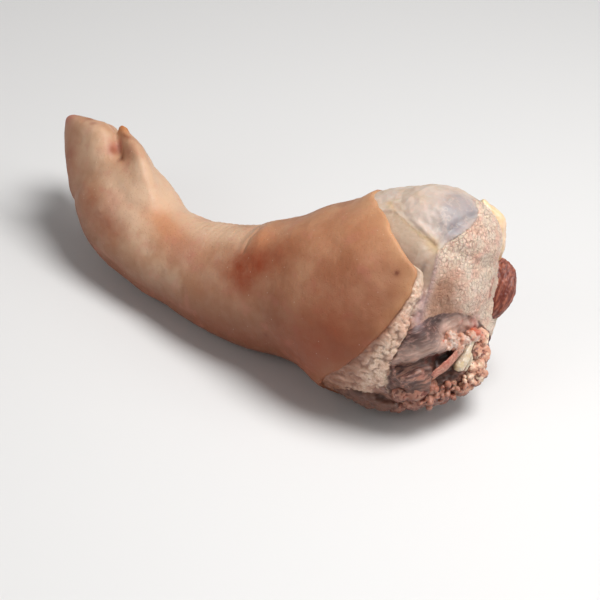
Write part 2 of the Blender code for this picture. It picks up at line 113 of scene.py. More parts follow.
# Near toe and dewclaw sections: front edge (along, lift), back edge (along, lift), half breadth.
TOE = metres((
    ((-200, -26), (-172, 10), 12), ((-222, -16), (-188, 18), 15),
    ((-236, 2), (-198.5, 22.5), 16.5), ((-244.5, 17), (-205, 29), 16),
    ((-248.5, 27), (-209.5, 33.8), 14.8), ((-249, 32.2), (-214, 36.4), 12),
    ((-245.5, 35.2), (-220, 38.4), 7),
))
DEWCLAW = metres((
    ((-190, -10), (-150, -6), 11), ((-194, 4), (-159, 7), 12.6),
    ((-198.5, 16), (-168.5, 17.8), 13.6), ((-203, 27), (-178.5, 28.2), 12.2),
    ((-206.8, 34.5), (-186.2, 33.8), 9.2), ((-208, 38.5), (-198, 37.8), 6.2),
    ((-207, 40.8), (-202, 40.7), 3.4),
))
TOE_SPACING = 0.0145
DEWCLAW_SPACING = 0.0165
# How much lower the far dewclaw stands.
FAR_DEWCLAW_DROP = 0.004
# Where the skin runs smoothly from one form into the next: place, reaches, strength.
JOINS = metre_rows((
    (-160, 10, 12, 16, 12, 22, 1.0),
    (-148, 8, 12, 12, 10, 22, 1.0),
    (-185, 4, 14, 16, 12, 20, 0.8),
    (-200, -20, 10, 14, 14, 24, 0.8),
    (-197, -6, 26, 14, 18, 12, 1.0),
    (-197, -6, -26, 14, 18, 12, 1.0),
    (-189, 12, 25, 13, 13, 12, 1.0),
    (-189, 12, -25, 13, 13, 12, 1.0),
    (-175, 13, 27, 14, 12, 13, 1.0),
    (-175, 13, -27, 14, 12, 13, 1.0),
    (-163, 8, 27, 13, 12, 13, 1.0),
    (-163, 8, -27, 13, 12, 13, 1.0),
), 6)
TOE_SPLAY = 0.05
TOE_TAPER = 0.30
FOOT_TWIST = math.radians(24)
# Rounded forms of the bare end: along, lift, side, then the three half sizes.
BELLIES = metres((
    (30, 55, 4, 36, 28.5, 41), (40, 30, -1, 27, 44, 44), (46, -14, -16, 26, 30, 32),
    (43, -8, 26.5, 22, 14, 22.5), (20, -53, 4, 26, 8.5, 16), (50, -32.5, 25, 10.5, 6, 12),
))
DARK_BELLY = metres((55, 34, -38, 17, 21, 9))
# Torn lumps along the lower rim and up the far side: along, lift, side, radius.
LUMPS = metres((
    (40, -50, -4, 8.5), (51, -45, 0, 8.5), (57, -41, -9, 7), (60, -38, -19, 6),
    (64, -33, -15, 5.5), (68, -28, -23, 6.5), (70, -19, -29, 8), (67, -6, -29, 8.5),
    (65.5, 3, -25, 6.8), (54.5, -39, 12, 8.5), (60, -35, 6, 6), (50, -44, 18, 6),
    (69, -15, -19, 5.5), (65, -12, -38.5, 7), (64, -19, -38.5, 6.5), (69.5, -5, -17.5, 5),
    (69, -10, -23, 5.6),
))
# Beads of fat along the rim of the torn end: the line that they follow, rows, and radii.
BEAD_LINE = metres((
    (59, -44.5, 8), (64, -43, 2), (66, -38, -2), (68.5, -33.5, -7), (71, -28.5, -13),
    (73.5, -23, -20), (74.5, -15, -26), (73.5, -6, -27),
))
BEAD_COUNT = 110
BEAD_SPREAD = 0.0028
BEAD_SEED = 11
BEAD_REACH = 0.75
BEAD_RADIUS = metres((1.2, 2.2))
# Red place on those lumps: along, lift, side, its reaches, strength.
RED_SPOT = metres((67.5, 6.8, -11, 6, 2.6, 6, 0.9), 6)
# Pale pink lumps beside the gristle.
NODULES = metres((
    (64, -7.2, 14, 3.8), (64.8, -3, 13, 4), (67.2, -4.5, 9, 4.6), (69, -0.5, 5, 4),
    (69.5, -4.8, 5.5, 3.8), (69, 3, -6, 4), (67.5, 5, -12, 4.2),
))
NODULE_STRETCH = (1.35, 0.80, 0.95)
GRISTLE = metres((
    3,
    (
        (67.5, 4.5, -11), (70, -1.5, -8), (70.8, -7.6, -5.5), (71.2, -12.8, -3),
        (70.8, -16.2, -2),
    ),
    (0.8, 0.7, 0.95, 1.45, 1.3),
), 2)
GRISTLE_TIP = metres((71, -16, -2, 3.8))
YELLOW_STRAND = metres((
    1.5, ((70.6, -5, -6), (72.2, -8.5, -10), (72.6, -13.1, -11.8), (71.2, -18, -11)),
    (0.8, 1.0, 1.15, 0.8),
), 2)
STRAP = metres((
    1.3,
    (
        (70.5, -4, 3), (69.8, -11, 6), (68.6, -16.4, 9), (66.8, -21.9, 11.5),
        (63.8, -27.6, 13.5), (59, -33, 14),
    ),
    (0.9, 1.0, 1.1, 1.1, 1.0, 0.8),
), 2)
MUSCLE_FIBRES = metres((2.4, 14, 2.4))
STRAP_WIDENING = 3.2
LIP = metres((
    3.4,
    (
        (44, -30, 39.5), (49, -24.5, 37), (54, -20.5, 34.5), (58, -17, 31), (61, -13, 26.5),
        (63.6, -10, 20.5), (64, -8, 14),
    ),
))
FAR_STRIP = metres((
    6.6, ((40, 81, -8), (50, 75.5, -15), (51, 68, -20), (53, 59.5, -28.5), (52.5, 51, -37)),
    (0.4, 1.0, 1.1, 0.8, 0.45),
), 2)
# The way that the fibres of the torn meat run.
FIBRE_RUN = (0.48, 0.61, -0.62)
# Cavities torn into the end: radius, then the places that they run through.
SLITS = metres((
    (
        4.6,
        (
            (50, -33, 36), (56, -27.5, 32), (60, -23.5, 28.5), (63.5, -20, 22.5),
            (66, -17.5, 14), (69, -15, 6),
        ),
    ),
    (5.2, ((59, -33, 12), (64, -27, 6), (69, -22.5, 0), (72, -19, -5))),
))
# Grooves (-) and welts (+) of the bare end: half width, height, places that they follow.
SEAMS = metres((
    (2.2, -2.4, ((58, 80, 10), (52, 70, 26), (50, 58, 38), (50, 47, 44))),
    (2, 2, ((-1, 60, 30), (17, 58, 39), (36, 52, 45), (49, 47, 44))),
    (3.2, -2.8, ((50, 46, 45), (56, 31, 44), (56, 15, 46), (52, -1, 48), (48, -12, 46))),
    (2.2, -1.6, ((52, -1, 48), (58, 8, 44), (64, 14, 28), (70, 12, 0))),
))

# Mesh fineness.
SLEEVE_RINGS = 120
SLEEVE_SEGMENTS = 120
CENTRE_STEP = 0.002
FAT_RINGS = 14
MEAT_RINGS = 40
RIM_RINGS = 9
DIGIT_RINGS = 24
DIGIT_SEGMENTS = 32
COARSER = 1.0
JOIN_STEPS = round(118 / COARSER**2)
CLEFT_STEPS = round(9 / COARSER**2)
SKIN_VOXEL = 0.00123 * COARSER
FAT_VOXEL = 0.00082 * COARSER
FLESH_VOXEL = 0.00085 * COARSER
SMALL_VOXEL = 0.00050 * COARSER

# Creases (-) and folds (+) of the skin: half width, height, places that they follow.
SKIN_LINES = metres((
    # crease across the inner bend, and the soft fold behind it
    (1.3, -1.1, (
        (-78, 19, 12), (-77.2, 11.8, 29.4), (-78.2, 7.5, 32.5),
        (-77.1, 2.6, 35.8), (-75.1, -3.1, 38.6),
    )),
    (4, 0.5, ((-70, 20, 20), (-71.5, 13, 31), (-69, 5, 37), (-66, -2, 41))),
    # heel to dewclaw
    (2.2, -1.8, (
        (-204, 33, 12), (-199, 27.5, 20.5), (-195.5, 24, 23.5), (-191.5, 20, 25.2),
    )),
    # fuller skin below the dewclaw, and a softer ridge beside it
    (4.5, 0.8, (
        (-190.5, 16, 26.2), (-186.8, 14.1, 26.3), (-181.5, 6.9, 26.6), (-170.4, 1.2, 26.9),
    )),
    (6.2, -1.1, (
        (-183, 22, 27.8), (-177.5, 18.5, 28), (-170.5, 13, 27.5), (-164, 8.5, 25.7),
    )),
    # edge of the nail bed near the toe's end
    (1.6, -0.8, ((-224, 34, 18), (-220, 29, 25), (-224, 20, 29))),
    # loose skin under the wrist
    (2.5, -0.7, ((-140, -50, 6), (-133, -44, 21), (-129, -35, 28))),
    (2.5, -0.6, ((-118, -55, 10), (-112, -48, 24), (-109, -40, 31))),
))
# Fine wrinkles run round the limb here: along, reach along, angle, reach round, height.
WRINKLES = metre_rows((
    (-100, 30, 350, 60, 0.55),
    (-165, 20, 330, 60, 0.45),
    (-195, 18, 95, 70, 0.3),
), 2, 3)
WRINKLE_LENGTH = 0.0055
CLEFT_WIDTH = 0.0022
CLEFT_DEPTH = 0.0020
CLEFT_WALL_LEAN = (0.3, 0.8)
TOE_START = metres((206, 216))
CLEFT_START = metres((194, 200))
CLEFT_WALLS = metres((3.5, 7.5))

# Colour areas of the skin: along, lift, side, reach along, reach lift, reach side, strength.
BROWN = metre_rows((
    (-232, 6, 20, 10, 17, 30, 0.60),
    (-206, -12, 24, 14, 12, 30, 0.50),
    (-189, -18, 26, 12, 9, 30, 0.40),
    (-187.2, 25, 26.5, 6, 6.2, 10, 0.45),
    # darker in the crease from heel to dewclaw: painted shade
    (-199.4, 24, 25, 3.2, 3.6, 4, 0.80),
    (-194.5, 35.2, 23.2, 5.2, 1.3, 4, 0.80),
    (-226.2, 36.8, 22.5, 2.8, 2.6, 3.4, 0.65),
    (-220.5, 34.9, 26.8, 3, 2.6, 3.4, 0.60),
    (-176, -22, 26, 12, 10, 30, 0.55),
    (-68, -9, 42, 13, 14, 30, 0.80),
    (-54, -2, 45, 10, 14, 30, 0.55),
    (-81, -17, 40, 12, 12, 30, 0.45),
    (-64, -23, 42, 10, 10, 30, 0.45),
    (-45, 4, 47, 10, 16, 30, 0.35),
    (-93, -30, 34, 10, 10, 30, 0.30),
    (10, -16, 54, 40, 34, 40, 0.52),
    (0, -40, 45, 30, 18, 40, 0.50),
    (-150, -30, -30, 20, 16, 30, 0.40),
    (-60, -20, -42, 20, 18, 30, 0.60),
    (10, 10, -56, 26, 24, 30, 0.50),
), 6)
AMBER = metre_rows((
    (-151, -5, 23, 10, 7, 20, 0.8),
    (-139, -9, 26, 10, 8, 20, 0.9),
    (-126, -13, 28, 12, 9, 20, 0.6),
    (-66, 10, 37, 9, 8, 20, 1.0),
    (6, 38, 46, 30, 18, 30, 0.7),
    (-40, 20, 44, 22, 12, 30, 0.5),
    (-236, 20, 22, 10, 10, 30, 0.3),
    (-228, 6, 22.5, 10, 12, 30, 0.5),
), 6)
# Lighter cream areas: partly the skin's own paler tone, partly painted light on upper faces that
# the lamp falls on.
CREAM = metre_rows((
    (-168, 13, 4, 14, 12, 24, 1.0),
    (-152, 6, 8, 14, 8, 18, 1.0),
    (-134, 0, 17, 14, 7, 18, 1.0),
    (-116, -3, 25, 16, 7, 18, 0.9),
    (-96, 4, 26, 14, 8, 20, 0.8),
    (-173, 2, 24, 18, 12, 20, 0.7),
    (-208, 22, 28, 10, 10, 20, 0.6),
    (-191, 5.5, 28, 10, 9, 20, 0.6),
    (-172, 21.5, 25.5, 10, 6, 12, 0.9),
    (-184, 30, 20, 6, 8, 16, 0.3),
), 6)
PINK = metre_rows((
    (-246, 32, 16, 9, 7, 30, 0.9),
    (-243, 33, -16, 9, 7, 20, 0.9),
    (-223.5, 34.5, 15, 2.8, 3, 6, 1.0),
    (-199.5, 27.5, 20, 3.6, 5, 10, 1.0),
    (-118, -18, 31, 16, 10, 30, 0.4),
    (-182, -6, 28, 7, 7, 20, 0.4),
), 6)
CLAW = metre_rows((
    (-203.5, 40.5, 17, 9, 5, 10, 1.0),
    (-203.5, 36.5, -17, 9, 5, 10, 1.0),
), 6)
DARK_SPOTS = metre_rows((
    (36.1, 22.2, 56.7, 1.5, 1.8, 4, 1.0),
    (-245, 21.5, 18, 1, 1, 3, 0.7),
    # darker in the crease from heel to dewclaw: painted shade
    (-192.5, 21, 25, 1.2, 4, 4, 0.6),
    (-42, -45, 32, 1.6, 1.6, 3, 0.5),
), 6)

# Along and lift: below this line the fat's lower corner is brown meat.
CORNER_LINE = metres(((10, -66), (26, -57), (44.5, -41.8), (60, -30)))
# The bare end's areas, in lift and side: where the white sheet, the crackled fat and the
# silver skin meet.
SHEET_LINE = metres((
    (-20, 115), (9, 89), (18.6, 73.5), (26, 66.5), (31.5, 60.5), (34.4, 56), (36.8, 50.5),
    (39.5, 46.2), (60, 30),
))
GRAIN_LINE = metres((
    (-60, 2), (-30, 10), (-20.2, 12.7), (-2.6, 14.2), (14, 13.3), (25.7, 9), (35.8, 4.3),
    (43.6, -2.3), (49.2, -10.7), (60, -20),
))
SILVER_LINE = metres((
    (-10, 0), (4, -3), (9.4, -10.1), (24.2, -13.1), (29.6, -17.6), (35.5, -21.5), (37.7, -25.9),
    (38.8, -30.6), (60, -45),
))
RIDGE_LINE = metres((
    (-30, 70), (1.9, 59.4), (13.9, 55.3), (23.8, 52), (31.8, 49.8), (39.7, 48.2), (45.8, 46.1),
    (70, 40),
))
LILAC_PLACES = metres((
    (48.2, 37.4, 42.8), (50.2, 30.4, 43.3), (51.4, 23.1, 43.5), (51.8, 15.6, 43),
    (51.9, 8.1, 42), (53.5, 1, 42.5),
))
# Painted shadow along the torn slits and two narrow grooves of the end: radius, then the places
# that they run through.
DARK_PLACES = metres((
    (
        4.2,
        (
            (50, -32.5, 36), (56, -27, 32), (60, -23, 28.5), (63, -19.5, 22.5), (64, -16.5, 14),
            (66, -14, 6),
        ),
    ),
    (4.6, ((59, -33, 12), (64, -27, 6), (69, -22.5, 0))), (1.6, ((47.5, 33, 49), (48, 26, 50))),
    (1.2, ((57.5, 3.2, 32.5), (59.1, 5.6, 24.2))),
))
RED_PLACES = metres((
    (1.8, ((65.9, 40, -14), (65.7, 34, -15), (65, 27, -23))),
    (3, ((65.3, 7.5, -12.6), (67.2, 7, -18.7))),
))
YELLOW_PLACES = metres((
    (1.8, ((4, 59.4, 38), (13.9, 56.3, 44.6), (31.8, 50.5, 47.5), (43, 47.5, 46.5))),
    (3.6, ((44, 46, 45), (46.5, 45, 42.5))),
))
PALE_PLACES = metres((
    # along the top of the lip: painted highlight
    (1.4, ((45, -27, 40), (50, -21.5, 37.5), (55, -17.5, 35), (59, -14, 31), (62, -10, 26))),
    (4.5, ((60, 3, 18), (65, 5.5, 10), (67, 8, 1), (68, 7, -8))),
    (4.8, ((61, 9, 11), (63, 9, 4), (64.5, 10, -6), (64, 12, -14))),
))
SLAB_LINE = metres(((45, -27, 40), (53, -19.5, 36), (59, -13, 31), (64, -6, 20), (66, 2, 8)))
SLAB_REACH = 0.0068
LILAC_REACH = 0.0042
RIM_REACH = 0.0075
NEAR_SIDE = metres((41, 43.5))
# How sudden the border of an area is, and over which grain heights the painted shade in the gaps
# between grains fades out.
SHARP = 0.0006
GRAIN_GAP = (0.25, 0.70)
# Round the limb: how far along the fat reaches over the meat.
CURD_EDGE = metre_rows((
    (0, 0), (80, 0), (86, 47.5), (92, 49.5), (96, 47), (104, 46), (110, 44), (118, 45.5),
    (126, 38.5), (130, 34), (136, 30.8), (144, 28), (150, 25), (175, 18), (205, 5), (360, 0),
), 0)
# The pale fold at the bottom of the end, coloured in brown tones: painted shade over its pale
# tissue.
FLAP = metre_rows((
    (30, -55, 12, 24, 8, 14, 1.0),
    (12, -58, 2, 26, 10, 20, 1.0),
    (48, -48, 20, 8, 6, 7, 0.8),
), 6)
# Bluish-grey area of the membrane: partly its own tone, partly a painted sheen.
BLUE = metre_rows((
    (46.1, 67, 32.5, 12, 10, 11, 1.1),
    (45.5, 75.5, 22.5, 12, 9, 11, 1.1),
    (46.3, 57, 37, 10, 9, 9, 1.0),
), 6)
GRAIN_SHADOW = metre_rows((
    (56, 13, 31, 20, 16, 13, 0.9),
    (56, 25, 33, 20, 12, 8, 0.6),
    (60, 10, 16, 20, 8, 14, 0.7),
), 6)
CHUNK = metre_rows(((51, -31.5, 25.5, 12, 6.5, 13, 1.0),), 6)

# Relief of smooth noise: height, size, shift.
SKIN_RELIEF = metre_rows(((0.55, 16, 0), (0.22, 5, 3.3)), 2)
GRAIN_RELIEF = metre_rows(((0.8, 8.5, 2.9), (0.3, 1.4, 3.6)), 2)
SHEET_RELIEF = metre_rows(((0.7, 13, 5.5), (0.3, 4, 1.5)), 2)
FIBRE_RELIEF = metre_rows(((0.5, (14, 2.2, 2.2), 8.8),), 2)
SLAB_RELIEF = metre_rows(((0.7, (12, 1.6, 1.6), 2.8),), 2)

# Colours, as sRGB numbers out of 255.
SKIN_TAN = (190, 142, 109)
SKIN_LIGHT = (218, 182, 152)
SKIN_BROWN = (146, 68, 38)
SKIN_AMBER = (206, 142, 102)
SKIN_PINK = (200, 128, 112)
# painted shade for the skin's downward faces
SKIN_UNDER = (122, 64, 37)
SKIN_WARM = (160, 105, 74)
FAT_TAN = (148, 94, 64)
FAT_PALE = (246, 218, 196)
SHEET_CREAM = (204, 180, 158)
SLAB_PALE = (212, 176, 160)
LUMP_CREAM = (246, 216, 188)
LUMP_PINK = (204, 148, 122)
LUMP_RED = (156, 66, 52)
NODULE_PINK = (208, 156, 132)
NODULE_RED = (192, 96, 74)
RED_ORANGE = (196, 84, 48)
STRAP_PINK = (186, 118, 100)
SKIN_RIM = (212, 164, 118)
SKIN_SPOT = (104, 46, 30)
SKIN_SPECK = (236, 214, 196)
CLAW_HORN = (200, 124, 66)
FAT_WHITE = (218, 182, 156)
FAT_PINK = (204, 154, 130)
# used for painted shade in the gaps between grains and on downward faces, and for the fat's own
# darker flecks
FAT_DEEP = (124, 72, 48)
SHEET_WHITE = (210, 190, 176)
# the membrane's bluish-grey, partly a painted sheen
SHEET_BLUE = (144, 139, 146)
STRIP_WHITE = (204, 180, 158)
STRIP_TAN = (184, 156, 132)
# painted shade for the strip's lower end
STRIP_GREY = (144, 116, 98)
CHUNK_DARK = (104, 70, 66)
CHUNK_PALE = (196, 146, 126)
# tones of the painted shade on the pale fold at the bottom
FLAP_BROWN = (84, 48, 36)
FLAP_TAN = (128, 84, 64)
MEAT_BROWN = (104, 64, 50)
MEAT_TAN = (150, 104, 86)
# Lump colours for painted shade: on downward faces, in the gaps between lumps, and on the low
# lumps.
LUMP_UNDER = (96, 46, 32)
LUMP_DEEP = (112, 54, 42)
LUMP_BROWN = (152, 88, 68)
SHEET_PINK = (212, 178, 160)
GRAIN_CREAM = (255, 229, 207)
GRAIN_PINK = (255, 210, 187)
GRAIN_SHADE = (194, 148, 122)
GRAIN_CRACK = (160, 106, 82)
LILAC = (158, 126, 130)
SILVER = (74, 46, 42)
SILVER_LIGHT = (148, 112, 102)
TORN_PURPLE = (104, 66, 54)
TORN_PINK = (150, 102, 84)
# colour of the painted shadow in slits, hollow places and under the ledge
TORN_DARK = (52, 26, 18)
BLOOD_RED = (176, 62, 48)
YELLOW_FAT = (214, 180, 120)
MUSCLE_DARK = (112, 52, 40)
MUSCLE_LIGHT = (170, 102, 80)
STRIP_YELLOW = (238, 204, 160)
STRIP_ORANGE = (224, 164, 128)
GRISTLE_WHITE = (214, 196, 172)
FLOOR_COLOUR = (0.80, 0.79, 0.78, 1)

# Finishes: how much light spreads inside, how far each colour does, the depth in metres,
# the roughness of the wet coat, and the shine below it.
MOISTURE = {
    "pig_skin": (0.18, (0.9, 0.35, 0.2), 0.004, 0.28, 0.30),
    "bared_fat": (0.25, (1.0, 0.5, 0.35), 0.003, 0.14, 0.5),
    "bare_flesh": (0.28, (1.0, 0.35, 0.25), 0.0035, 0.14, 0.5),
    "torn_lumps": (0.30, (1.0, 0.35, 0.25), 0.003, 0.12, 0.5),
    "pale_nodules": (0.35, (1.0, 0.5, 0.35), 0.003, 0.12, 0.5),
    "torn_strap": (0.35, (1.0, 0.35, 0.25), 0.003, 0.12, 0.5),
    "dark_muscle": (0.20, (1.0, 0.25, 0.15), 0.003, 0.2, 0.5),
    "side_fat": (0.30, (1.0, 0.5, 0.3), 0.004, 0.15, 0.5),
    "gristle": (0.35, (1.0, 0.7, 0.5), 0.004, 0.08, 0.6),
}
COAT_IOR = 1.4
# How patterns are drawn out along, up and to the side: below 1 is longer.
CREASE_STRETCH = (2.2, 0.8, 0.8)
FIBRE_STRETCH = (0.12, 1.0, 1.0)
STRAP_STRETCH = (0.4, 1.0, 1.0)
MUSCLE_STRETCH = (1.0, 0.12, 1.0)
CRACKLE_WAVER = (0.0016, 0.0016, 0.0016)

# Studio: spot, size and power of each light, where they point, and the light all round.
LIGHTS = {
    "window": ((0.42, 0.08, 1.22), 0.7, 15.0),
    "front": ((-0.4, -1.3, 0.9), 1.0, 3.5),
    "end": ((1.0, 0.25, 0.75), 0.7, 3.0),
}
LIGHT_TARGET = Vector((0.0, 0.0, 0.06))
LIGHT_AROUND = 0.17
FLOOR_HALF = 3.0

# Picture: view angles, distance, and metres for a pixel of the 600 by 600 frame.
VIEW_TURN = math.radians(33)
VIEW_DOWN = math.radians(34)
VIEW_ROLL = math.radians(3.6)
VIEW_DISTANCE = 1.5
PIXEL = 0.00062
FRAME_PIXELS = 600
ELBOW_PIXEL = (371, 299)
SENSOR = 36


def place(along, lift, side):
    """World position of a place on the leg."""
    lean_sin = math.sin(BEND_LEAN)
    lean_cos = math.cos(BEND_LEAN)
    upright = Vector((
        along,
        lift * lean_sin - side * lean_cos,
        lift * lean_cos + side * lean_sin,
    ))
    return ELBOW + Matrix.Rotation(-REST_PITCH, 3, "Y") @ upright


def leg_axes():
    return np.array([place(*axis) - ELBOW for axis in ((1, 0, 0), (0, 1, 0), (0, 0, 1))])


def leg_places(points):
    """Places (along, lift, side) of an array of world positions."""
    return (points - np.array(ELBOW)) @ leg_axes().T


def smooth_through(rows, at):
    """Values at the places `at` on a smooth curve through rows of (place, value, ...)."""
    table = np.array(rows, dtype=float)
    knots = table[:, 0]
    values = table[:, 1:]
    slopes = np.gradient(values, knots, axis=0)
    at = np.clip(np.asarray(at, dtype=float), knots[0], knots[-1])
    low = np.clip(np.searchsorted(knots, at) - 1, 0, len(knots) - 2)
    span = (knots[low + 1] - knots[low])[..., None]
    t = (at[..., None] - knots[low][..., None]) / span
    return (
        (2 * t**3 - 3 * t**2 + 1) * values[low]
        + (t**3 - 2 * t**2 + t) * span * slopes[low]
        + (3 * t**2 - 2 * t**3) * values[low + 1]
        + (t**3 - t**2) * span * slopes[low + 1]
    )


def swelling(along, angle):
    """Height of the skin's large swellings and hollows at a place (angle in radians)."""
    height = np.zeros(np.broadcast(along, angle).shape)
    for centre, turn, reach, spread, rise in SWELLINGS:
        apart = np.degrees(np.angle(np.exp(1j * (angle - math.radians(turn)))))
        height += rise * np.exp(-((along - centre) / reach) ** 2 - (apart / spread) ** 2)
    return height


def limb_radius(along, angle):
    """Distance from the limb's centreline to its skin."""
    sizes = smooth_through(LIMB, along)
    depth = sizes[..., 1]
    breadth = sizes[..., 2]
    power = SECTION_SQUARENESS
    round_radius = (
        np.abs(np.cos(angle) / depth) ** power + np.abs(np.sin(angle) / breadth) ** power
    ) ** (-1 / power)
    return round_radius + swelling(along, angle)


def centre_line(along):
    """Lift and slope of the limb's centreline."""
    lift, after, before = (
        smooth_through(LIMB, along + step)[..., 0] for step in (0, CENTRE_STEP, -CENTRE_STEP)
    )
    return lift, (after - before) / (2 * CENTRE_STEP)


def limb_point(along, angle, radius):
    """Place (along, lift, side) at a radius and angle in the limb's section."""
    lift, slope = centre_line(along)
    length = np.sqrt(1 + slope**2)
    up = radius * np.cos(angle)
    side = radius * np.sin(angle)
    return np.stack([along - up * slope / length, lift + up / length, side], axis=-1)


def limb_angle(spots):
    """The along and the angle (degrees) in the limb's section of places on it."""
    along = spots[:, 0]
    for _ in range(2):
        lift, slope = centre_line(along)
        along = spots[:, 0] + (spots[:, 1] - lift) * slope
    angle = np.degrees(np.arctan2(spots[:, 2], spots[:, 1] - lift)) % 360
    return along, angle


def around(segments):
    return np.linspace(0, 2 * math.pi, segments, endpoint=False)


def edge_table(angles):
    """Skin edge, width and depth of the bared fat at angles in radians, slightly wavy."""
    edge, width, drop = smooth_through(SKIN_EDGE, np.degrees(angles)).T
    wave = np.sin(9 * angles) + 0.6 * np.sin(23 * angles + 1) + 0.4 * np.sin(41 * angles + 2)
    return edge + EDGE_WAVE * wave, width, drop


def limb_ring(along, angles, down=0.0, share=1.0):
    """Ring round the limb, lower than its skin, or at a share of the radius."""
    return limb_point(along, angles, share * (limb_radius(along, angles) - down))


def skin_rings():
    """Rings of the skin: fetlock to cut edge, over the cut, then closed off inside."""
    angles = around(SLEEVE_SEGMENTS)
    edge, _, _ = edge_table(angles)
    first = LIMB[0][0]
    skin = SKIN_THICKNESS
    parts = np.linspace(0, 1, SLEEVE_RINGS)
    rings = [limb_ring(first + part * (edge - first), angles) for part in parts]
    rings += [limb_ring(edge + out * skin, angles, down * skin) for out, down in CUT_PROFILE]
    rings += [limb_ring(edge - SKIN_TUCK, angles, share=share) for share in (0.9, 0.7, 0.4)]
    return np.array(rings)


def fat_rings():
    """Rings of the fat: from under the skin to its torn inner edge, then closed off inside."""
    angles = around(SLEEVE_SEGMENTS)
    edge, width, drop = edge_table(angles)
    skin = SKIN_THICKNESS
    start = edge + 0.3 * skin
    rings = [limb_ring(edge - FAT_TUCK, angles, share=share) for share in (0.4, 0.7, 0.85)]
    rings += [limb_ring(edge - back * FAT_TUCK, angles, skin) for back in (1.0, 0.5)]
    for part in np.linspace(0, 1, FAT_RINGS):
        rings.append(limb_ring(start + part * width, angles, 0.9 * skin + part * (drop - skin)))
    for out, down, share in FAT_EDGE:
        rings.append(limb_ring(start + width + out, angles, drop + down, share))
    return np.array(rings)


def meat_rings():
    """Rings of the meat core, from under the fat to a rounded stump."""
    angles = around(SLEEVE_SEGMENTS)
    edge, _, drop = edge_table(angles)
    start = edge - MEAT_TUCK
    end = MEAT_END - MEAT_RIM
    rings = [limb_ring(start, angles, drop, share) for share in (0.4, 0.8)]
    for part in np.linspace(0, 1, MEAT_RINGS):
        rings.append(limb_ring(start + part * (end - start), angles, drop))
    for turn in np.linspace(0, math.pi / 2, RIM_RINGS)[1:]:
        along = np.full(SLEEVE_SEGMENTS, end + MEAT_RIM * math.sin(turn))
        rings.append(limb_ring(along, angles, drop + MEAT_RIM * (1 - math.cos(turn))))
    for share in (0.8, 0.6, 0.4, 0.2):
        ring = limb_ring(along, angles, drop + MEAT_RIM, share)
        ring[:, 0] += MEAT_DOME * (1 - share)
        rings.append(ring)
    rings = np.array(rings)
    run = np.clip((rings[..., 0] - MEAT_SLANT_START) / (MEAT_END - MEAT_SLANT_START), 0, 1)
    slant = MEAT_SLANT * run**2 * rings[..., 2]
    high = np.clip((rings[..., 1] - CORNER_LIFT) / CORNER_REACH, 0, 1)
    far = np.clip((CORNER_SIDE - rings[..., 2]) / CORNER_REACH, 0, 1)
    rings[..., 0] -= slant + MEAT_CORNER * high * far * run**2
    return rings


def digit_rings(sections, spacing, drop=0):
    """Rings of a toe or dewclaw, which stands off the foot's middle by its spacing."""
    rows = [(i, *front, *back, half) for i, (front, back, half) in enumerate(sections)]
    angles = around(DIGIT_SEGMENTS)
    toward = math.copysign(1, spacing)
    rings = []
    for spot in np.linspace(0, len(sections) - 1, DIGIT_RINGS):
        values = smooth_through(rows, spot)
        middle = (values[0:2] + values[2:4]) / 2
        reach = (values[2:4] - values[0:2]) / 2
        half = values[4]
        flat = middle[:, None] + reach[:, None] * np.cos(angles)
        wide = half * np.sin(angles) * (1 + TOE_TAPER * np.cos(angles))
        out = spacing + toward * TOE_SPLAY * spot * half + wide
        along = flat[0] + (out - abs(spacing)) * math.sin(FOOT_TWIST)
        lift = flat[1] - drop
        rings.append(np.stack([along, lift, out * math.cos(FOOT_TWIST)], axis=-1))
    return np.array(rings)


def add_tube(shape, rings):
    """Add a closed tube through rings of places to a mesh under construction."""
    segments = rings.shape[1]
    verts = [[shape.verts.new(place(*spot)) for spot in ring] for ring in rings]
    for lower, upper in zip(verts, verts[1:]):
        for i in range(segments):
            j = (i + 1) % segments
            shape.faces.new((lower[i], lower[j], upper[j], upper[i]))
    for ring, backward in ((verts[0], True), (verts[-1], False)):
        middle = sum((vert.co for vert in ring), Vector()) / segments
        centre = shape.verts.new(middle)
        for i in range(segments):
            j = (i + 1) % segments
            corners = (ring[j], ring[i], centre) if backward else (ring[i], ring[j], centre)
            shape.faces.new(corners)


def add_ball(shape, centre, half_sizes, fineness=3):
    """Add a rounded form with its own half sizes along the leg's three directions."""
    made = bmesh.ops.create_icosphere(shape, subdivisions=fineness, radius=1)
    for vert in made["verts"]:
        vert.co = place(*(c + h * v for c, h, v in zip(centre, half_sizes, vert.co)))


def finish_mesh(name, shape):
    bmesh.ops.recalc_face_normals(shape, faces=shape.faces)
    mesh = bpy.data.meshes.new(name)
    shape.to_mesh(mesh)
    shape.free()
    return mesh


def tube_mesh(name, *tubes):
    shape = bmesh.new()
    for rings in tubes:
        add_tube(shape, rings)
    return finish_mesh(name, shape)


def ball_mesh(name, centre, half_sizes):
    shape = bmesh.new()
    add_ball(shape, centre, half_sizes)
    return finish_mesh(name, shape)


def evaluated_mesh(piece):
    view = bpy.context.evaluated_depsgraph_get()
    view.update()
    return bpy.data.meshes.new_from_object(piece.evaluated_get(view))


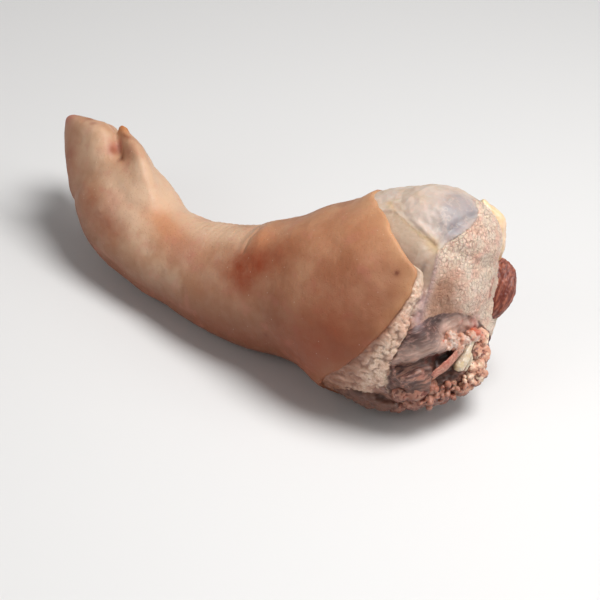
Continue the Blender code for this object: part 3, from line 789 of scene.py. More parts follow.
def cord_mesh(name, radius, places, taper=None):
    """Round cord through some places, from a bevelled curve with filled caps."""
    curve = bpy.data.curves.new(name, "CURVE")
    curve.dimensions = "3D"
    curve.bevel_depth = radius
    curve.bevel_resolution = 3
    curve.resolution_u = 8
    curve.use_fill_caps = True
    spline = curve.splines.new("NURBS")
    spline.points.add(len(places) - 1)
    for number, (point, spot) in enumerate(zip(spline.points, places)):
        point.co = (*place(*spot), 1)
        if taper:
            point.radius = taper[number]
    spline.order_u = 3
    spline.use_endpoint_u = True
    cord = bpy.data.objects.new(name, curve)
    bpy.context.scene.collection.objects.link(cord)
    mesh = evaluated_mesh(cord)
    bpy.data.objects.remove(cord)
    shape = bmesh.new()
    shape.from_mesh(mesh)
    bmesh.ops.remove_doubles(shape, verts=shape.verts, dist=0.00005)
    return finish_mesh(name, shape)


def add_object(name, data, collection=None):
    piece = bpy.data.objects.new(name, data)
    (collection or bpy.context.scene.collection).objects.link(piece)
    return piece


def apply_modifiers(piece):
    mesh = evaluated_mesh(piece)
    piece.modifiers.clear()
    piece.data = mesh


def combine(piece, operation, meshes):
    """Join some forms to the piece, or cut them from it."""
    forms = bpy.data.collections.new("forms")
    bpy.context.scene.collection.children.link(forms)
    for number, mesh in enumerate(meshes):
        add_object(f"form_{number}", mesh, forms)
    modifier = piece.modifiers.new(operation.lower(), "BOOLEAN")
    modifier.operation = operation
    modifier.operand_type = "COLLECTION"
    modifier.collection = forms
    modifier.solver = "EXACT"
    modifier.use_self = True
    apply_modifiers(piece)
    for form in list(forms.objects):
        bpy.data.objects.remove(form, do_unlink=True)
    bpy.data.collections.remove(forms)


def even_out(piece, voxel, smooth_steps):
    """Turn joined forms into one even surface, and soften its creases."""
    remesh = piece.modifiers.new("even_out", "REMESH")
    remesh.mode = "VOXEL"
    remesh.voxel_size = voxel
    if smooth_steps:
        smooth = piece.modifiers.new("soften", "SMOOTH")
        smooth.iterations = smooth_steps
    apply_modifiers(piece)


def soften(piece, name, weights, steps):
    """Smooth the places of a piece that have a weight."""
    group = piece.vertex_groups.new(name=name)
    for number, weight in enumerate(weights):
        if weight > 0.02:
            group.add([number], float(weight), "REPLACE")
    smooth = piece.modifiers.new(name, "SMOOTH")
    smooth.vertex_group = name
    smooth.iterations = steps
    apply_modifiers(piece)


def blend_joins(piece):
    """Let the skin run smoothly from one form into the next."""
    _, _, _, spots = surface(piece)
    soften(piece, "joins", area(spots, JOINS), JOIN_STEPS)


def calm_cleft(piece):
    """Smooth the tight skin between the toes once it has its folds."""
    _, _, _, spots = surface(piece)
    along, _, side = spots.T
    tight = step_between(-along, *CLEFT_START) * (1 - step_between(np.abs(side), *CLEFT_WALLS))
    soften(piece, "cleft", tight, CLEFT_STEPS)


def keep_outer_body(piece):
    """Drop loose scraps and sealed hollows, keeping the largest body."""
    shape = bmesh.new()
    shape.from_mesh(piece.data)
    unseen = set(shape.verts)
    bodies = []
    while unseen:
        body = [unseen.pop()]
        for vert in body:
            linked = {edge.other_vert(vert) for edge in vert.link_edges} & unseen
            unseen -= linked
            body.extend(linked)
        bodies.append(body)
    bodies.sort(key=len)
    scraps = [vert for body in bodies[:-1] for vert in body]
    bmesh.ops.delete(shape, geom=scraps, context="VERTS")
    shape.to_mesh(piece.data)
    shape.free()


def points_and_normals(mesh):
    count = len(mesh.vertices)
    points = np.empty(count * 3)
    normals = np.empty(count * 3)
    mesh.vertices.foreach_get("co", points)
    mesh.vertices.foreach_get("normal", normals)
    return points.reshape(-1, 3), normals.reshape(-1, 3)


def surface(piece):
    points, normals = points_and_normals(piece.data)
    return piece.data, points, normals, leg_places(points)


def raise_surface(mesh, points, normals, height):
    """Move each point along its normal, and press what would sink into the floor flat."""
    moved = points + height[:, None] * normals
    moved[:, 2] = np.maximum(moved[:, 2], 0)
    mesh.vertices.foreach_set("co", moved.ravel())
    mesh.update()


def distance_to_line(spots, line):
    """Distance of each place to a line through several places."""
    best = np.full(len(spots), np.inf)
    for start, end in zip(np.array(line), np.array(line)[1:]):
        run = end - start
        t = np.clip((spots - start) @ run / (run @ run), 0, 1)
        best = np.minimum(best, np.linalg.norm(spots - start - t[:, None] * run, axis=1))
    return best


def step_between(value, low, high):
    """0 below low, 1 above high, and smooth between them."""
    t = np.clip((value - low) / (high - low), 0, 1)
    return t * t * (3 - 2 * t)


def area(spots, rows):
    """Soft areas round some places, together at most 1."""
    total = np.zeros(len(spots))
    for row in rows:
        apart = (spots - np.array(row[:3])) / np.array(row[3:6])
        total += row[6] * np.exp(-(apart**2).sum(1))
    return np.clip(total, 0, 1)


def cloud(spots, size, shift=0.0):
    """Smooth noise from -1 to 1; the size may differ along, up and to the side."""
    scaled = spots / np.array(size) + shift
    return np.array([noise.noise(spot) for spot in scaled.tolist()])


def rolling(spots, rows):
    """Relief of smooth noise from rows of height, size and shift."""
    return sum(rise * cloud(spots, size, shift) for rise, size, shift in rows)


def beads(spots, size, shift=0.0):
    """Relief of round grains that lie close together: 1 on their tops, 0 between them."""
    scaled = spots / np.array(size) + shift
    near = np.array([noise.voronoi(spot)[0][0] for spot in scaled.tolist()])
    return np.sqrt(np.clip(1 - (near / BEAD_REACH) ** 2, 0, 1))


def bell(distance, reach):
    return np.exp(-(distance / reach) ** 2)


def welts(spots, lines):
    """Relief of grooves and welts that follow lines."""
    return sum(rise * bell(distance_to_line(spots, line), width) for width, rise, line in lines)


def along_places(spots, rows):
    """Soft bands along some lines, together at most 1."""
    return np.max([bell(distance_to_line(spots, line), reach) for reach, line in rows], axis=0)


def above_line(value, across, line, wobble, softness):
    """1 where a value lies above a line given as (across, value) places, 0 below it."""
    height = value - np.interp(across, *np.array(line).T) + wobble
    return step_between(height, -softness, softness)


def turned(spots, run):
    """The places measured along a run, and in two ways across it."""
    run = np.array(run) / np.linalg.norm(run)
    across = np.cross(run, (0, 0, 1))
    across /= np.linalg.norm(across)
    return spots @ np.stack([run, across, np.cross(run, across)], 1)


def store(mesh, **areas):
    """Keep numbers for each point of a mesh, for its material to read."""
    for name, values in areas.items():
        layer = mesh.attributes.new(name, "FLOAT", "POINT")
        layer.data.foreach_set("value", np.ascontiguousarray(values, dtype=np.float32))


def store_places(mesh, **places):
    """Keep a place for each point of a mesh, for its material's patterns."""
    for name, spots in places.items():
        layer = mesh.attributes.new(name, "FLOAT_VECTOR", "POINT")
        layer.data.foreach_set("vector", np.ascontiguousarray(spots, dtype=np.float32).ravel())


class Shade:
    """One output of a material's node. Plain operators on it add Math nodes."""

    def __init__(self, finish, socket):
        self.finish = finish
        self.socket = socket

    def math(self, operation, *values):
        return self.finish.node("ShaderNodeMath", {"operation": operation}, dict(enumerate(values)))

    def __add__(self, other):
        return self.math("ADD", self, other)

    __radd__ = __add__

    def __sub__(self, other):
        return self.math("SUBTRACT", self, other)

    def __rsub__(self, other):
        return self.math("SUBTRACT", other, self)

    def __mul__(self, other):
        return self.math("MULTIPLY", self, other)

    __rmul__ = __mul__

    def __abs__(self):
        return self.math("ABSOLUTE", self)

    def between(self, low, high):
        """0 where this is below low, 1 above high, and smooth between them."""
        return self.finish.node(
            "ShaderNodeMapRange",
            {"interpolation_type": "SMOOTHSTEP"},
            {"Value": self, "From Min": low, "From Max": high},
        )


class Finish:
    """A material in the making, with its shader's even values set at once."""

    def __init__(self, name, **values):
        self.material = bpy.data.materials.new(name)
        self.material.use_nodes = True
        self.tree = self.material.node_tree
        self.shader = self.tree.nodes["Principled BSDF"]
        for label, value in values.items():
            self.shader.inputs[label.replace("_", " ")].default_value = value

    def node(self, kind, settings, sockets, output=0):
        node = self.tree.nodes.new(kind)
        for label, value in settings.items():
            setattr(node, label, value)
        for label, value in sockets.items():
            self.feed(node.inputs[label], value)
        return Shade(self, node.outputs[output])

    def feed(self, socket, value):
        if isinstance(value, Shade):
            self.tree.links.new(value.socket, socket)
        else:
            socket.default_value = value

    def stored(self, name, output="Fac"):
        return self.node("ShaderNodeAttribute", {"attribute_name": name}, {}, output)

    def places(self):
        return self.stored("leg_place", "Vector")

    def on_places(self, operation, place_on_leg, other):
        """Vector maths on a place on the leg."""
        settings = {"operation": operation}
        return self.node("ShaderNodeVectorMath", settings, {0: place_on_leg, 1: other})

    def noise(self, where, size, detail=4, rough=0.55, output=0):
        sockets = {"Vector": where, "Scale": 1 / size, "Detail": detail, "Roughness": rough}
        return self.node("ShaderNodeTexNoise", {}, sockets, output)

    def cell(self, where, size, **settings):
        """Distance from the middles of cells, or as the settings say."""
        sockets = {"Vector": where, "Scale": 1 / size}
        return self.node("ShaderNodeTexVoronoi", settings, sockets)

    def mix(self, mask, low, high):
        """Colour low where the mask is 0 and high where it is 1."""
        sockets = {0: mask, 6: self.colour(low), 7: self.colour(high)}
        return self.node("ShaderNodeMix", {"data_type": "RGBA"}, sockets, 2)

    def layers(self, colour, *coats):
        """A colour with others laid over it, each where its mask is."""
        for mask, coat in coats:
            colour = self.mix(mask, colour, coat)
        return colour

    def colour(self, value):
        return value if isinstance(value, Shade) else tint(value)

    def wear(self, colour, roughness, height, depth, coat):
        """Feed what changes over the surface: colour, roughness, fine relief and wetness."""
        sockets = {"Height": height, "Distance": depth, "Strength": 1.0}
        self.feed(self.shader.inputs["Base Color"], colour)
        self.feed(self.shader.inputs["Roughness"], roughness)
        self.feed(self.shader.inputs["Normal"], self.node("ShaderNodeBump", {}, sockets))
        self.feed(self.shader.inputs["Coat Weight"], coat)
        return self.material


def tint(colour):
    """Shader colour of sRGB numbers out of 255."""
    parts = [part / 255 for part in colour]
    linear = [p / 12.92 if p <= 0.04045 else ((p + 0.055) / 1.055) ** 2.4 for p in parts]
    return (*linear, 1)


def wet_finish(name):
    """A finish with the even values of moist meat: light spreads inside it under a clear coat."""
    share, spread, depth, coat, shine = MOISTURE[name]
    return Finish(
        name, Subsurface_Weight=share, Subsurface_Radius=spread, Subsurface_Scale=depth,
        Coat_Roughness=coat, Coat_IOR=COAT_IOR, Specular_IOR_Level=shine,
    )


def skin_finish():
    """Moist pig skin: tan, with lighter, brown, amber and pink areas, pores and specks; the lighter
    areas are partly painted light, and it has painted shade on its downward faces and along the
    crease by the dewclaw.
    """
    skin = wet_finish("pig_skin")
    at = skin.stored
    where = skin.places()
    broad = skin.noise(where, 0.030, 3)
    blotch = skin.noise(where, 0.009)
    fine = skin.noise(where, 0.0022, 3)
    pores = skin.cell(where, 0.0016)
    speck = 1 - skin.cell(where, 0.0060).between(0.045, 0.075)
    light = broad.between(0.35, 0.68)
    colour = skin.layers(
        skin.mix(light, SKIN_TAN, SKIN_LIGHT),
        (at("elbow"), skin.mix(light, SKIN_WARM, SKIN_TAN)),
        # painted shade on downward faces
        (at("under"), SKIN_UNDER),
        # lighter cream areas, partly painted light
        (at("cream") * 0.9, SKIN_LIGHT),
        (at("amber") * 0.75, SKIN_AMBER),
        (blotch.between(0.50, 0.75) * 0.28 + at("pink") * (0.55 + 0.45 * blotch), SKIN_PINK),
        (at("brown") * (0.45 + 0.9 * blotch), SKIN_BROWN),
        (at("rim") * 0.35, SKIN_RIM),
        (at("claw"), CLAW_HORN),
        (at("spot"), SKIN_SPOT),
        ((1 - pores.between(0.05, 0.30)) * 0.22, SKIN_BROWN),
        (speck * 0.3, SKIN_SPECK),
    )
    creases = skin.noise(skin.on_places("MULTIPLY", where, CREASE_STRETCH), 0.0035, 5, 0.6)
    height = pores.between(0.0, 0.35) * 0.35 + fine * 0.5 + creases * 0.9
    roughness = 0.42 + 0.22 * blotch + 0.10 * fine
    return skin.wear(colour, roughness, height, 0.00035, 0.04 + 0.16 * broad)


def fat_finish():
    """Glistening fat: tan by the skin and white towards its inner edge, with pink lumps; painted
    shade between its grains, on its downward faces and where the tan reaches further round its
    lower side.
    """
    fat = wet_finish("bared_fat")
    at = fat.stored
    where = fat.places()
    broad = fat.noise(where, 0.009)
    fine = fat.noise(where, 0.0016)
    colour = fat.layers(
        FAT_TAN,
        (at("inner"), fat.mix(fine.between(0.40, 0.62), FAT_WHITE, FAT_PALE)),
        (broad.between(0.42, 0.66) * 0.55, FAT_PINK),
        # painted shade between the grains
        (at("gap") * 0.55, FAT_DEEP),
        (at("smooth"), fat.mix(fine, STRIP_WHITE, STRIP_TAN)),
        # painted shade on downward faces
        (at("under"), FAT_DEEP),
        (fine.between(0.56, 0.76) * 0.22, FAT_DEEP),
        (at("meat"), fat.mix(broad.between(0.38, 0.62), MEAT_BROWN, MEAT_TAN)),
    )
    return fat.wear(colour, 0.30 + 0.25 * fine, fine + 0.8 * broad, 0.00040, 0.25 + 0.5 * broad)


def flesh_finish():
    """The bare end: white sheet, crackled cream fat, lilac band, silver skin, torn meat; painted
    shadow in its slits, hollow places and under the torn ledge, painted shade between the curds, at
    the strip's lower end and on the pale fold at the bottom, a painted highlight along the top of
    the lip and a painted sheen on the bluish-grey membrane.
    """
    flesh = wet_finish("bare_flesh")
    at = flesh.stored
    where = flesh.places()
    broad = flesh.noise(where, 0.012)
    fine = flesh.noise(where, 0.0017, 5, 0.6)
    mottle = flesh.noise(where, 0.0050)
    swirl = flesh.noise(where, 0.0075, 2)
    veins = 1 - abs(swirl - 0.5).between(0.0, 0.035)
    curd = flesh.noise(where, 0.0013, 3, 0.65)
    pits = 1 - abs(curd - 0.5).between(0.0, 0.06)
    waver = flesh.noise(where, 0.0025, 2, 0.5, "Color")
    wavy = flesh.on_places("ADD", where, flesh.on_places("MULTIPLY", waver, CRACKLE_WAVER))
    crackle = 1 - flesh.cell(wavy, 0.0026, feature="DISTANCE_TO_EDGE").between(0.01, 0.11)
    crackle = crackle * (0.35 + 0.65 * mottle.between(0.35, 0.60))
    fibres = flesh.on_places("MULTIPLY", at("fibre_place", "Vector"), FIBRE_STRETCH)
    streaks = flesh.noise(fibres, 0.0016)
    slab = at("slab") * (0.55 + 0.45 * streaks)
    half = broad.between(0.40, 0.66)
    sheet = flesh.layers(
        flesh.mix(half, SHEET_WHITE, SHEET_CREAM),
        (mottle.between(0.52, 0.75) * 0.5, SHEET_PINK),
        # bluish-grey, partly a painted sheen
        (at("blue") * 0.85, SHEET_BLUE),
        (veins * 0.35, SHEET_WHITE),
    )
    grain = flesh.layers(
        flesh.mix(half, GRAIN_CREAM, GRAIN_PINK),
        (at("shade"), GRAIN_SHADE),
        (at("crack") * 0.50 + pits * 0.04 + crackle * 0.40, GRAIN_CRACK),
    )
    silver = flesh.mix(streaks.between(0.46, 0.70), SILVER, SILVER_LIGHT)
    strip = flesh.mix(fine, STRIP_WHITE, STRIP_TAN)
    curds = flesh.mix(fine.between(0.40, 0.62), FAT_WHITE, FAT_PALE)
    colour = flesh.layers(
        flesh.mix(streaks.between(0.42, 0.66), TORN_PURPLE, TORN_PINK),
        (slab, SLAB_PALE),
        # painted shadow in slits, hollow places and under the ledge
        (at("dark"), TORN_DARK),
        (at("grain"), grain),
        (at("silver"), flesh.mix(slab, silver, SLAB_PALE)),
        (at("sheet"), sheet),
        # the strip darkens towards its lower end: painted shade
        (at("strip"), flesh.mix(at("strip_low"), strip, STRIP_GREY)),
        (at("curds"), flesh.mix(broad.between(0.42, 0.66) * 0.5, curds, FAT_PINK)),
        # painted shade between the curds
        (at("curd_gap") * 0.6, FAT_DEEP),
        (at("lilac"), LILAC),
        # pale bands; the narrow one along the top of the lip is a painted highlight
        (at("pale"), SLAB_PALE),
        (at("yellow"), YELLOW_FAT),
        (at("red") * (0.4 + 0.8 * mottle), BLOOD_RED),
        # the pale fold at the bottom in brown: painted shade
        (at("flap"), flesh.mix(mottle, FLAP_TAN, FLAP_BROWN)),
        # painted shadow laid on once more
        (at("dark") * 0.85, TORN_DARK),
        (at("chunk"), flesh.mix(streaks.between(0.40, 0.62), CHUNK_DARK, CHUNK_PALE)),
    )
    height = fine * 0.5 + streaks * at("lower") - (0.6 * pits + 1.6 * crackle) * at("grain")
    coat = (0.06 + 0.30 * mottle) * (1 - 0.6 * at("sheet")) * (1 - 0.7 * at("grain"))
    return flesh.wear(colour, 0.38 + 0.25 * fine, height, 0.00050, coat)


def lump_finish():
    """Torn lumps: pink and cream, with red; painted shade in the gaps, on downward faces and on the
    low lumps.
    """
    lumps = wet_finish("torn_lumps")
    at = lumps.stored
    where = lumps.places()
    mottle = lumps.noise(where, 0.0045)
    fine = lumps.noise(where, 0.0013, 5, 0.6)
    broad = lumps.noise(where, 0.014, 3)
    colour = lumps.layers(
        lumps.mix(mottle.between(0.40, 0.68), LUMP_PINK, LUMP_CREAM),
        (broad.between(0.52, 0.72) * 0.30, LUMP_RED),
        # painted shade on the lumps low on the rim
        (at("low") * 0.75, LUMP_BROWN),
        # painted shade in the gaps between lumps
        (at("gap") * 0.8, LUMP_DEEP),
        # painted shade on downward faces
        (at("under") * 0.9, LUMP_UNDER),
    )
    return lumps.wear(colour, 0.34 + 0.25 * fine, fine, 0.00040, 0.12 + 0.35 * mottle)


def nodule_finish():
    """Pale pink and cream nodules, faintly yellow."""
    nodule = wet_finish("pale_nodules")
    at = nodule.stored
    where = nodule.places()
    mottle = nodule.noise(where, 0.0040)
    fine = nodule.noise(where, 0.0013, 5, 0.6)
    colour = nodule.layers(
        nodule.mix(mottle.between(0.40, 0.65), NODULE_PINK, SHEET_WHITE),
        (fine.between(0.55, 0.75) * 0.4, YELLOW_FAT),
        (nodule.noise(where, 0.0065, 3).between(0.52, 0.64) * 0.55, NODULE_RED),
        # painted shade in the gaps between nodules
        (at("gap") * 0.5, TORN_PINK),
        (at("red"), RED_ORANGE),
    )
    return nodule.wear(colour, 0.26 + 0.25 * fine, fine, 0.00035, 0.3 + 0.5 * mottle)


def strap_finish():
    """Pink sinew strap, with pale streaks along it."""
    strap = wet_finish("torn_strap")
    where = strap.places()
    streaks = strap.noise(strap.on_places("MULTIPLY", where, STRAP_STRETCH), 0.0014)
    mottle = strap.noise(where, 0.0050, 3)
    colour = strap.mix(streaks.between(0.42, 0.70), STRAP_PINK, NODULE_PINK)
    colour = strap.mix(mottle.between(0.55, 0.75) * 0.5, colour, BLOOD_RED)
    return strap.wear(colour, 0.36 + 0.2 * streaks, streaks, 0.0003, 0.1 + 0.3 * mottle)


def muscle_finish():
    """Dark red-brown muscle with long pale fibres."""
    muscle = wet_finish("dark_muscle")
    where = muscle.places()
    fibres = muscle.noise(muscle.on_places("MULTIPLY", where, MUSCLE_STRETCH), 0.0016)
    broad = muscle.noise(where, 0.010, 3)
    colour = muscle.mix(fibres.between(0.40, 0.66), MUSCLE_DARK, MUSCLE_LIGHT)
    colour = muscle.mix(broad.between(0.5, 0.8) * 0.5, colour, TORN_PURPLE)
    return muscle.wear(colour, 0.42 + 0.2 * fibres, fibres, 0.0006, 0.05 + 0.2 * broad)


def strip_finish():
    """Pale yellow fat strip, orange-pink on its inner side."""
    strip = wet_finish("side_fat")
    where = strip.places()
    fine = strip.noise(where, 0.0016)
    broad = strip.noise(where, 0.009, 3)
    colour = strip.mix(broad.between(0.4, 0.7) * 0.5, STRIP_YELLOW, GRAIN_CREAM)
    colour = strip.mix(strip.stored("inner"), colour, STRIP_ORANGE)
    return strip.wear(colour, 0.28 + 0.2 * fine, fine + broad, 0.0004, 0.3 + 0.3 * broad)


def gristle_finish():
    """Wet white cartilage, faintly yellow and pink in its folds."""
    gristle = wet_finish("gristle")
    where = gristle.places()
    mottle = gristle.noise(where, 0.0050)
    fine = gristle.noise(where, 0.0015)
    colour = gristle.mix(mottle.between(0.45, 0.7) * 0.6, GRISTLE_WHITE, YELLOW_FAT)
    colour = gristle.mix(fine.between(0.55, 0.8) * 0.4, colour, TORN_PINK)
    return gristle.wear(colour, 0.2 + 0.2 * fine, fine, 0.0003, 0.5 + 0.3 * mottle)


def dress_skin(piece):
    """Creases, folds, wrinkles and unevenness of the skin, and its colour areas."""
    mesh, points, normals, spots = surface(piece)
    along, angle = limb_angle(spots)
    height = rolling(spots, SKIN_RELIEF) + welts(spots, SKIN_LINES)
    wander = cloud(spots, 0.020, 7.7)
    folds = np.abs(np.sin(math.pi * along / WRINKLE_LENGTH + 3 * wander)) - 1
    for centre, reach, turn, spread, rise in WRINKLES:
        apart = (angle - turn + 180) % 360 - 180
        height += rise * folds * bell(along - centre, reach) * bell(apart, spread)
    toes = step_between(-spots[:, 0], *TOE_START)
    walls = step_between(np.abs(normals @ leg_axes()[2]), *CLEFT_WALL_LEAN)
    height -= CLEFT_DEPTH * toes * walls * bell(spots[:, 2], CLEFT_WIDTH)
    rim = bell(np.minimum(along - edge_table(np.radians(angle))[0], 0), RIM_REACH)
    rim = rim * (spots[:, 0] > -0.05) * (0.25 + 0.75 * (1 - step_between(angle, 95, 125)))
    raise_surface(mesh, points, normals, height)
    store_places(mesh, leg_place=spots)
    store(
        mesh, rim=rim,
        # darker where the skin faces down: painted shade
        under=0.9 * step_between(-normals[:, 2], -0.70, 0.45),
        elbow=step_between(along + 0.006 * cloud(spots, 0.02, 4.2), -0.125, -0.030),
        # the cream areas are partly painted light
        brown=area(spots, BROWN), amber=area(spots, AMBER), cream=area(spots, CREAM),
        pink=area(spots, PINK), claw=area(spots, CLAW), spot=area(spots, DARK_SPOTS),
    )


def dress_fat(piece):
    """Lumps of the bared fat, its scalloped inner edge, and the pale strip near the top."""
    mesh, points, normals, spots = surface(piece)
    along, angle = limb_angle(spots)
    edge, width, _ = edge_table(np.radians(angle))
    across = (along - edge) / width
    rough = step_between(angle, 80, 92) * (1 - step_between(angle, 250, 275))
    smooth = 1 - rough
    broad = step_between(width, 0.003, 0.014)
    flow = cloud(spots, (0.010, 0.0050, 0.0050), 1.7)
    uneven = np.stack([cloud(spots, 0.006, shift) for shift in (0.3, 1.9, 4.3)], 1)
    grains = beads(spots + 0.0014 * uneven, (0.0036, 0.0025, 0.0025), 5.1)
    scallop = bell(across - 0.93, 0.14) * (0.5 + 0.7 * cloud(spots, 0.0042, 8.8))
    rising = 0.5 + 0.5 * step_between(across, 0.0, 0.3)
    height = broad * (0.0011 * flow + rising * (0.0012 * grains - 0.0008) + 0.0010 * scallop)
    height += rough * (1 - broad) * (0.0007 * beads(spots, 0.0030, 6.2) - 0.0004)
    height += smooth * (0.0005 * cloud(spots, (0.012, 0.004, 0.004), 5.1) - 0.0008)
    height += rough * 0.0004 * beads(spots, 0.0018, 2.5)
    meat = 1 - above_line(spots[:, 1], spots[:, 0], CORNER_LINE, 0.0012 * flow, 0.0008)
    height -= 0.0009 * meat * broad
    raise_surface(mesh, points, normals, height)
    store_places(mesh, leg_place=spots)
    # the tan reaches further in round the fat's lower side (angles 128 to 150): painted shade
    low = 0.06 + 0.30 * step_between(angle, 128, 150)
    store(
        mesh, meat=meat * rough, smooth=smooth,
        # low between the grains: painted shade
        gap=rough * rising * (1 - step_between(grains, *GRAIN_GAP)),
        inner=step_between(across + 0.2 * flow - low, -0.05, 0.40),
        # darker where the fat faces down: painted shade
        under=0.5 * step_between(-normals[:, 2], 0.0, 0.8),
    )


def dress_flesh(piece):
    """Seams, cracked fat, fibres and crags of the bare end, and its colour areas."""
    mesh, points, normals, spots = surface(piece)
    along, lift, side = spots.T
    wobble = 0.0010 * cloud(spots, 0.006, 2.2)
    near = step_between(side, *NEAR_SIDE)

    # fat that reaches over the meat, with a torn ledge along its edge and painted shadow below that
    # ledge
    turn_along, turn = limb_angle(spots)
    beyond = turn_along - np.interp(turn, *np.array(CURD_EDGE).T) + 1.5 * wobble
    front = step_between(lift, -0.050, -0.044)
    low_curds = (1 - step_between(beyond, -SHARP, SHARP)) * front
    ledge = bell(beyond - 0.0014, 0.0014) * step_between(turn, 108, 116) * front

    # areas of the bare end
    strip = (1 - above_line(lift, along, RIDGE_LINE, wobble, 0.0008)) * near
    strip = strip * step_between(lift, 0.010, 0.024)
    sheet_back = (1 - step_between(along + wobble, 0.043, 0.046)) * step_between(lift, 0.0, 0.02)
    sheet = np.maximum(above_line(lift, side, SHEET_LINE, wobble, SHARP), sheet_back)
    sheet = sheet * (1 - strip)
    upper = above_line(lift, side, GRAIN_LINE, wobble, SHARP)
    curds = near * (1 - step_between(lift + wobble, 0.012, 0.026))
    curds = np.maximum(curds * upper, low_curds)
    lower = (1 - upper) * (1 - curds)
    grain = upper * (1 - sheet) * (1 - strip) * (1 - curds)
    silver = lower * above_line(lift, side, SILVER_LINE, wobble, 0.0010)
    silver = silver * step_between(side, 0.004, 0.010)
    lilac = bell(distance_to_line(spots, LILAC_PLACES), LILAC_REACH) * (1 - strip)
    torn = lower * (1 - silver)

    # cracks and worm-like folds of the grain
    tangle = np.abs(cloud(spots, 0.0038, 4.4)) + 0.5 * np.abs(cloud(spots, 0.0019, 6.4))
    cracked = step_between(cloud(spots, 0.010, 9.1), -0.5, 0.2)
    crack = (1 - step_between(tangle, 0.02, 0.16)) * cracked
    worms = 1 - step_between(np.abs(cloud(spots, (0.0050, 0.0100, 0.0032), 3.9)), 0.0, 0.12)
    worms = worms * step_between(lift, 0.030, 0.044)
    folds = 0.0003 + 0.0009 * np.minimum(tangle, 0.4) - 0.0003 * crack - 0.0006 * worms
    grain_place = grain * (1 - lilac)
    crack = np.maximum(0.7 * crack, 0.35 * worms)

    tops = beads(spots, (0.0040, 0.0034, 0.0034), 5.1)
    fibre_spots = turned(spots, FIBRE_RUN)
    slab = bell(distance_to_line(spots, SLAB_LINE), SLAB_REACH) * lower
    crags = cloud(spots, 0.0075, 0.7)
    height = welts(spots, SEAMS) + grain_place * (folds + rolling(spots, GRAIN_RELIEF))
    height += curds * (0.0012 * tops - 0.0006 + 0.0008 * cloud(spots, 0.008, 6.6))
    height += sheet * rolling(spots, SHEET_RELIEF)
    height += lower * (rolling(fibre_spots, FIBRE_RELIEF) + 0.0006 * cloud(spots, 0.009, 3.1))
    height += slab * rolling(fibre_spots, SLAB_RELIEF)
    height += torn * (0.0013 * crags + 0.0008 * cloud(spots, 0.0030, 2.7))
    height += torn * 0.0006 * beads(spots, 0.0026, 4.4)
    height += 0.0003 * cloud(spots, 0.003, 7.1) - 0.0011 * ledge
    raise_surface(mesh, points, normals, height)

    pale = along_places(spots, PALE_PLACES)
    # the low places of the torn meat are painted darker (painted shade), and the slits and grooves
    # get painted shadow
    hollows = 0.65 * torn * step_between(-crags, 0.05, 0.45) * (1 - pale)
    dark = np.maximum(along_places(spots, DARK_PLACES), hollows)
    blush = 0.35 * torn * step_between(cloud(spots, 0.008, 5.9), 0.2, 0.5)
    cloudy = 0.75 + 0.25 * step_between(cloud(spots, 0.010, 6.1), -0.4, 0.4)
    store_places(mesh, leg_place=spots, fibre_place=fibre_spots)
    store(
        mesh, sheet=sheet, strip=strip, grain=grain, silver=silver, lower=lower,
        slab=slab, curds=curds,
        # darker towards the strip's lower end: painted shade
        strip_low=0.8 * (1 - step_between(lift + wobble, 0.030, 0.048)),
        crack=crack * grain_place,
        # low between the curds: painted shade
        curd_gap=curds * (1 - step_between(tops, *GRAIN_GAP)),
        # the pale band along the top of the lip is a painted highlight
        lilac=lilac * 0.8, pale=pale * 0.85,
        yellow=along_places(spots, YELLOW_PLACES) * 0.45,
        red=np.maximum(along_places(spots, RED_PLACES), blush),
        # painted shadow, also under the fat's torn ledge
        dark=np.maximum(dark, 0.5 * ledge),
        # painted shade on the pale fold at the bottom
        flap=area(spots, FLAP) * lower,
        # partly a painted sheen
        blue=area(spots, BLUE) * cloudy,
        shade=area(spots, GRAIN_SHADOW),
        chunk=area(spots, CHUNK),
    )


def dress_small(piece, lump_size, rise, grain=0.0):
    """Lumpy, fibrous or beaded surface of a small form."""
    mesh, points, normals, spots = surface(piece)
    lumps = cloud(spots, lump_size, 1.3)
    height = rise * lumps + 0.35 * rise * cloud(spots, 0.0016, 4.9)
    if grain:
        tops = beads(spots, grain, 3.7)
        height += grain * (0.34 * tops + 0.10 * beads(spots, 0.45 * grain, 1.9) - 0.2)
        lumps = lumps + 1.6 * (tops - 0.55)
    raise_surface(mesh, points, normals, height)
    store_places(mesh, leg_place=spots)
    store(
        # low between the lumps: painted shade
        mesh, gap=step_between(-lumps, 0.15, 0.55),
        # darker where the form faces down: painted shade
        under=step_between(-normals[:, 2], -0.1, 0.8),
        # darker towards the bottom of the rim: painted shade
        low=1 - step_between(spots[:, 1] - 0.35 * spots[:, 2], -0.033, -0.014),
        red=area(spots, (RED_SPOT,)),
        inner=step_between(-normals @ leg_axes()[2], -0.2, 0.6),
    )


def settle(piece, material):
    """Give a piece its finish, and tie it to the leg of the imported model."""
    piece.data.materials.clear()
    piece.data.materials.append(material)
    piece.data.shade_smooth()
    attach(piece, "root")
    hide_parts("leg")


def make_skin():
    tubes = [skin_rings()]
    for toward in (1, -1):
        tubes.append(digit_rings(TOE, toward * TOE_SPACING))
        drop = FAR_DEWCLAW_DROP if toward < 0 else 0
        tubes.append(digit_rings(DEWCLAW, toward * DEWCLAW_SPACING, drop))
    skin = add_object("skin", tube_mesh("skin", *tubes))
    even_out(skin, SKIN_VOXEL, 3)
    keep_outer_body(skin)
    blend_joins(skin)
    dress_skin(skin)
    calm_cleft(skin)
    settle(skin, skin_finish())


def make_fat():
    fat = add_object("bared_fat", tube_mesh("bared_fat", fat_rings()))
    even_out(fat, FAT_VOXEL, 2)
    keep_outer_body(fat)
    dress_fat(fat)
    settle(fat, fat_finish())


